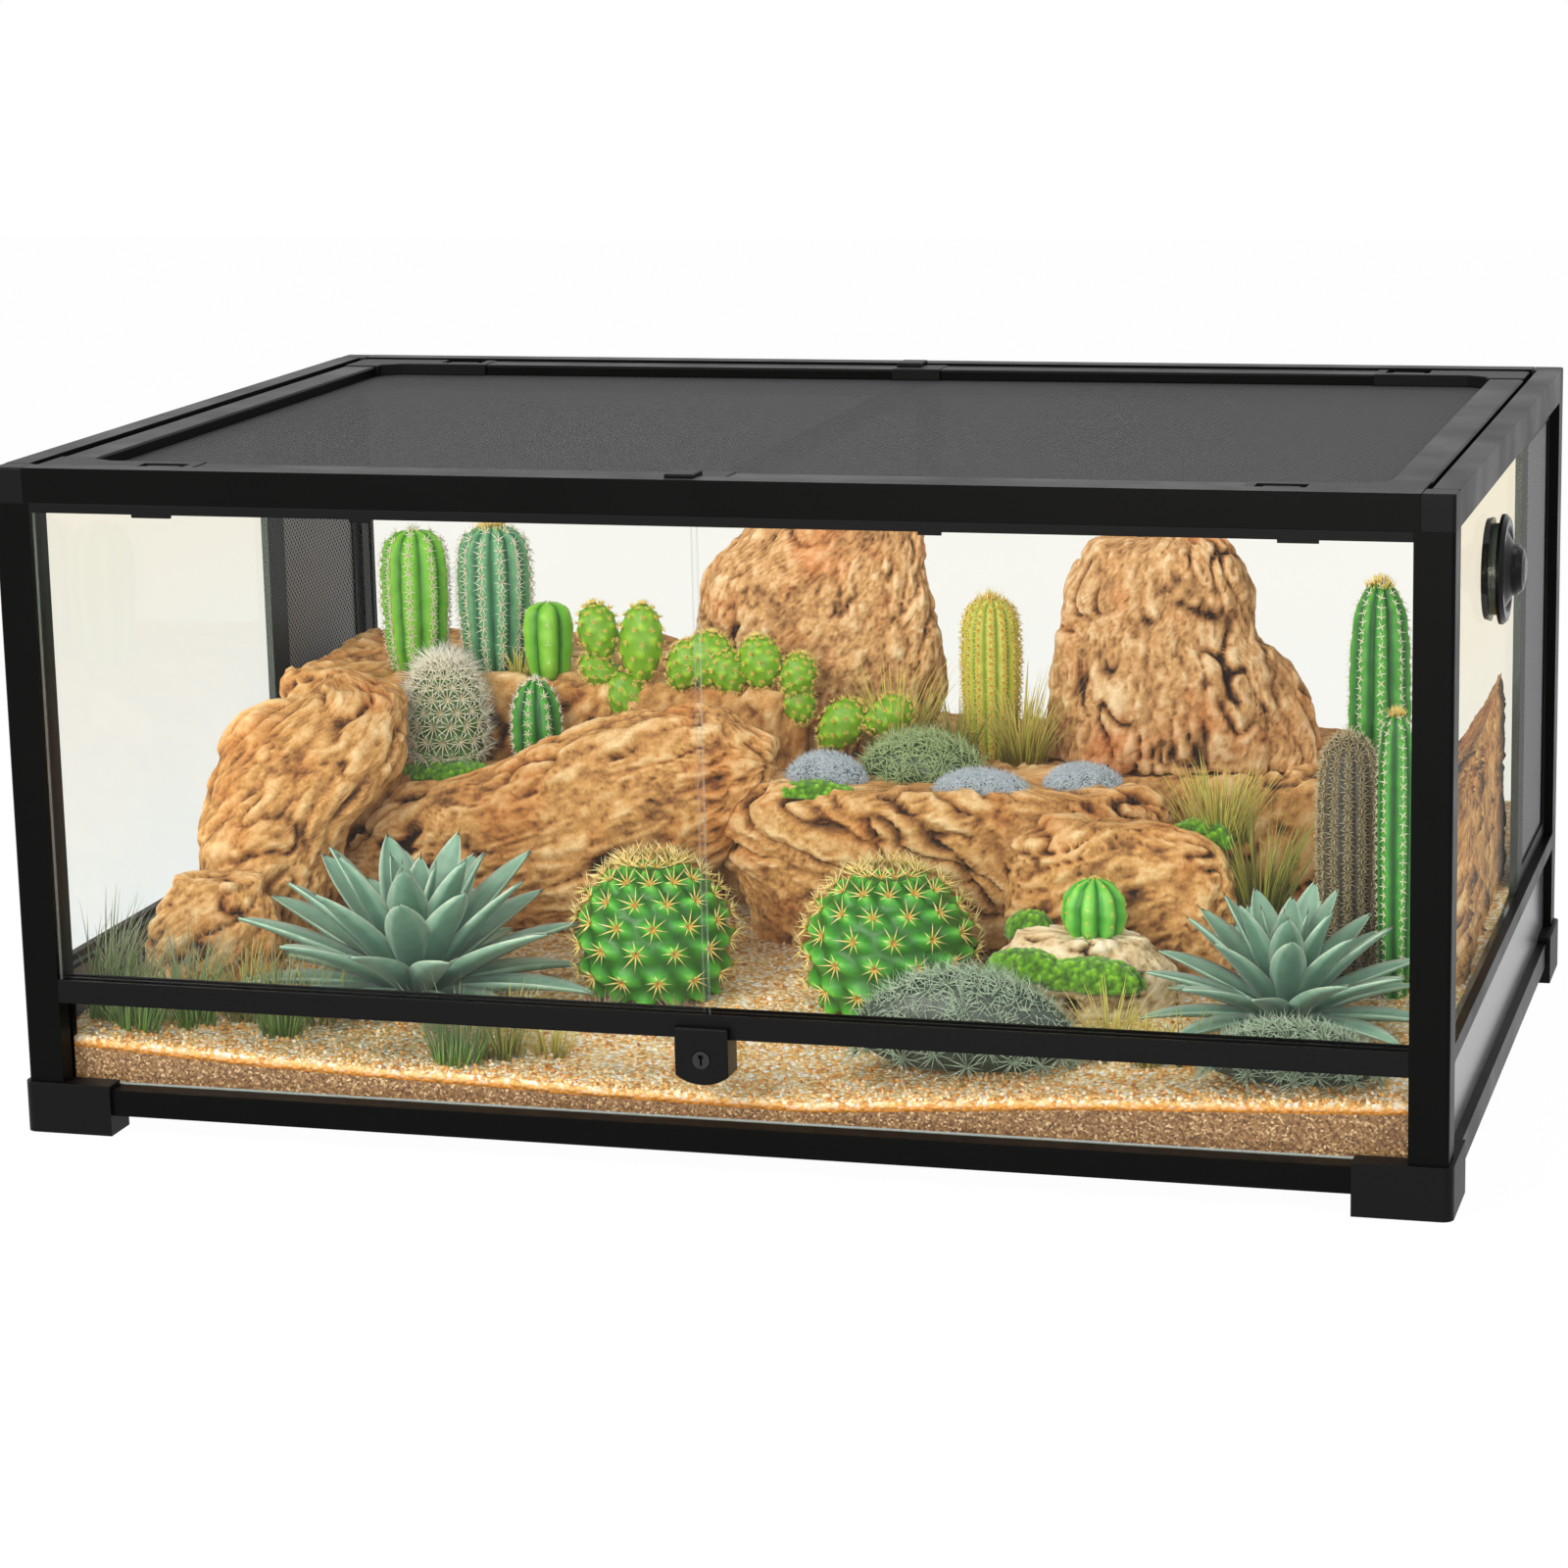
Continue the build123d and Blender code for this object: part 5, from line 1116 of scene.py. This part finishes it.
red_tipped = bristle("red_tipped_succulent", "#84a592", "#b0564a")
succulents = new_piece()
for x, y, spread, seed in ((-104, -184, 27, 1), (-50, -186, 28, 2)):
    chance = random.Random(seed)
    heart = Vector((x, y, ground(x * MM, y * MM) / MM + 3)) * MM
    for ring, (count, reach, rise) in enumerate(((11, 1.0, 0.5), (10, 0.95, 0.9), (8, 0.8, 1.25))):
        for k in range(count):
            a = 2 * pi * (k + 0.5 * ring) / count
            way = Vector((cos(a) * cos(rise), sin(a) * cos(rise), sin(rise)))
            spine(succulents, heart, heart + way * spread * reach * MM * chance.uniform(0.8, 1.1),
                  4.2 * MM, 0, (0.0, 0.8))
place("red_tipped_rosettes", succulents, "moss_pads", "moss", red_tipped)


# ---------------------------------------------------------------- floor, lamps and camera
# The tank stands on a pale floor in a white room, under large soft lamps.
floor_size = 6.0
floor_mesh = bpy.data.meshes.new("floor")
floor_mesh.from_pydata([(-floor_size, -floor_size, 0), (floor_size, -floor_size, 0),
                        (floor_size, floor_size, 0), (-floor_size, floor_size, 0)], [], [(0, 1, 2, 3)])
floor = bpy.data.objects.new("floor", floor_mesh)
bpy.context.scene.collection.objects.link(floor)

# matt white card: it takes the tank's shadow, and shows the camera and mirrors an even white
white_card = new_finish("white_card")
matt = add(white_card, "BsdfDiffuse", {"Color": linear("#f2f2f2")})
plain_white = add(white_card, "Emission", {"Color": linear("#ffffff"), "Strength": 1.0})
path = add(white_card, "LightPath")
mirrored = add(white_card, "Math", {0: path.outputs["Is Camera Ray"], 1: path.outputs["Is Glossy Ray"]},
               operation="MAXIMUM")
mostly = add(white_card, "Math", {0: mirrored.outputs[0], 1: 0.975}, operation="MULTIPLY")
card = add(white_card, "MixShader", {"Fac": mostly.outputs[0], 1: matt.outputs[0],
                                     2: plain_white.outputs[0]})
add(white_card, "OutputMaterial", {"Surface": card.outputs[0]})
floor_mesh.materials.append(white_card)

# the room: an even soft light, seen as plain white by the camera, in mirrors and through glass
room = bpy.data.worlds.new("room")
room.use_nodes = True
room.node_tree.nodes.clear()
ROOM_LIGHT = 0.55
path = add(room, "LightPath")
seen = add(room, "Math", {0: path.outputs["Is Camera Ray"], 1: path.outputs["Is Glossy Ray"]},
           operation="MAXIMUM")
soft_light = add(room, "Background", {"Color": linear("#ffffff"), "Strength": ROOM_LIGHT})
white = add(room, "Background", {"Color": linear("#ffffff"), "Strength": 1.0})
walls = add(room, "MixShader", {"Fac": seen.outputs[0], 1: soft_light.outputs[0], 2: white.outputs[0]})
add(room, "OutputWorld", {"Surface": walls.outputs[0]})
bpy.context.scene.world = room


def soft_lamp(name, place, power, size, colour="#ffffff"):
    """A square soft lamp that points at the middle of the tank."""
    lamp = bpy.data.lights.new(name, "AREA")
    lamp.energy, lamp.size, lamp.color = power, size, linear(colour)[:3]
    holder = bpy.data.objects.new(name, lamp)
    bpy.context.scene.collection.objects.link(holder)
    holder.location = place
    holder.rotation_euler = (Vector((0, 0, 0.2)) - Vector(place)).to_track_quat("-Z", "Y").to_euler()


soft_lamp("lamp_front", (-1.4, -2.1, 1.8), 78, 1.3, "#fff9f0")
soft_lamp("lamp_low", (0.3, -2.9, 0.65), 36, 1.6, "#fffaf2")
soft_lamp("lamp_right", (2.2, -1.0, 1.5), 20, 1.4)
soft_lamp("lamp_above", (0.2, 0.3, 2.4), 30, 1.8)

# where the photographer stood, and the lens, found from the tank's corners
CAMERA_PLACE = (0.7445, -2.6909, 0.7904)
YAW, PITCH, ROLL = -0.281, -0.215, -0.023
ahead = Vector((sin(YAW) * cos(PITCH), cos(YAW) * cos(PITCH), sin(PITCH)))
level = Vector((cos(YAW), -sin(YAW), 0))
upright = level.cross(ahead)
right = cos(ROLL) * level + sin(ROLL) * upright
up = -sin(ROLL) * level + cos(ROLL) * upright
camera_data = bpy.data.cameras.new("camera")
camera_data.sensor_width, camera_data.lens = 36.0, 97.5
camera = bpy.data.objects.new("camera", camera_data)
camera.matrix_world = Matrix((right, up, -ahead)).transposed().to_4x4()
camera.location = CAMERA_PLACE
bpy.context.scene.collection.objects.link(camera)
bpy.context.scene.camera = camera
bpy.context.scene.view_settings.view_transform = "Standard"
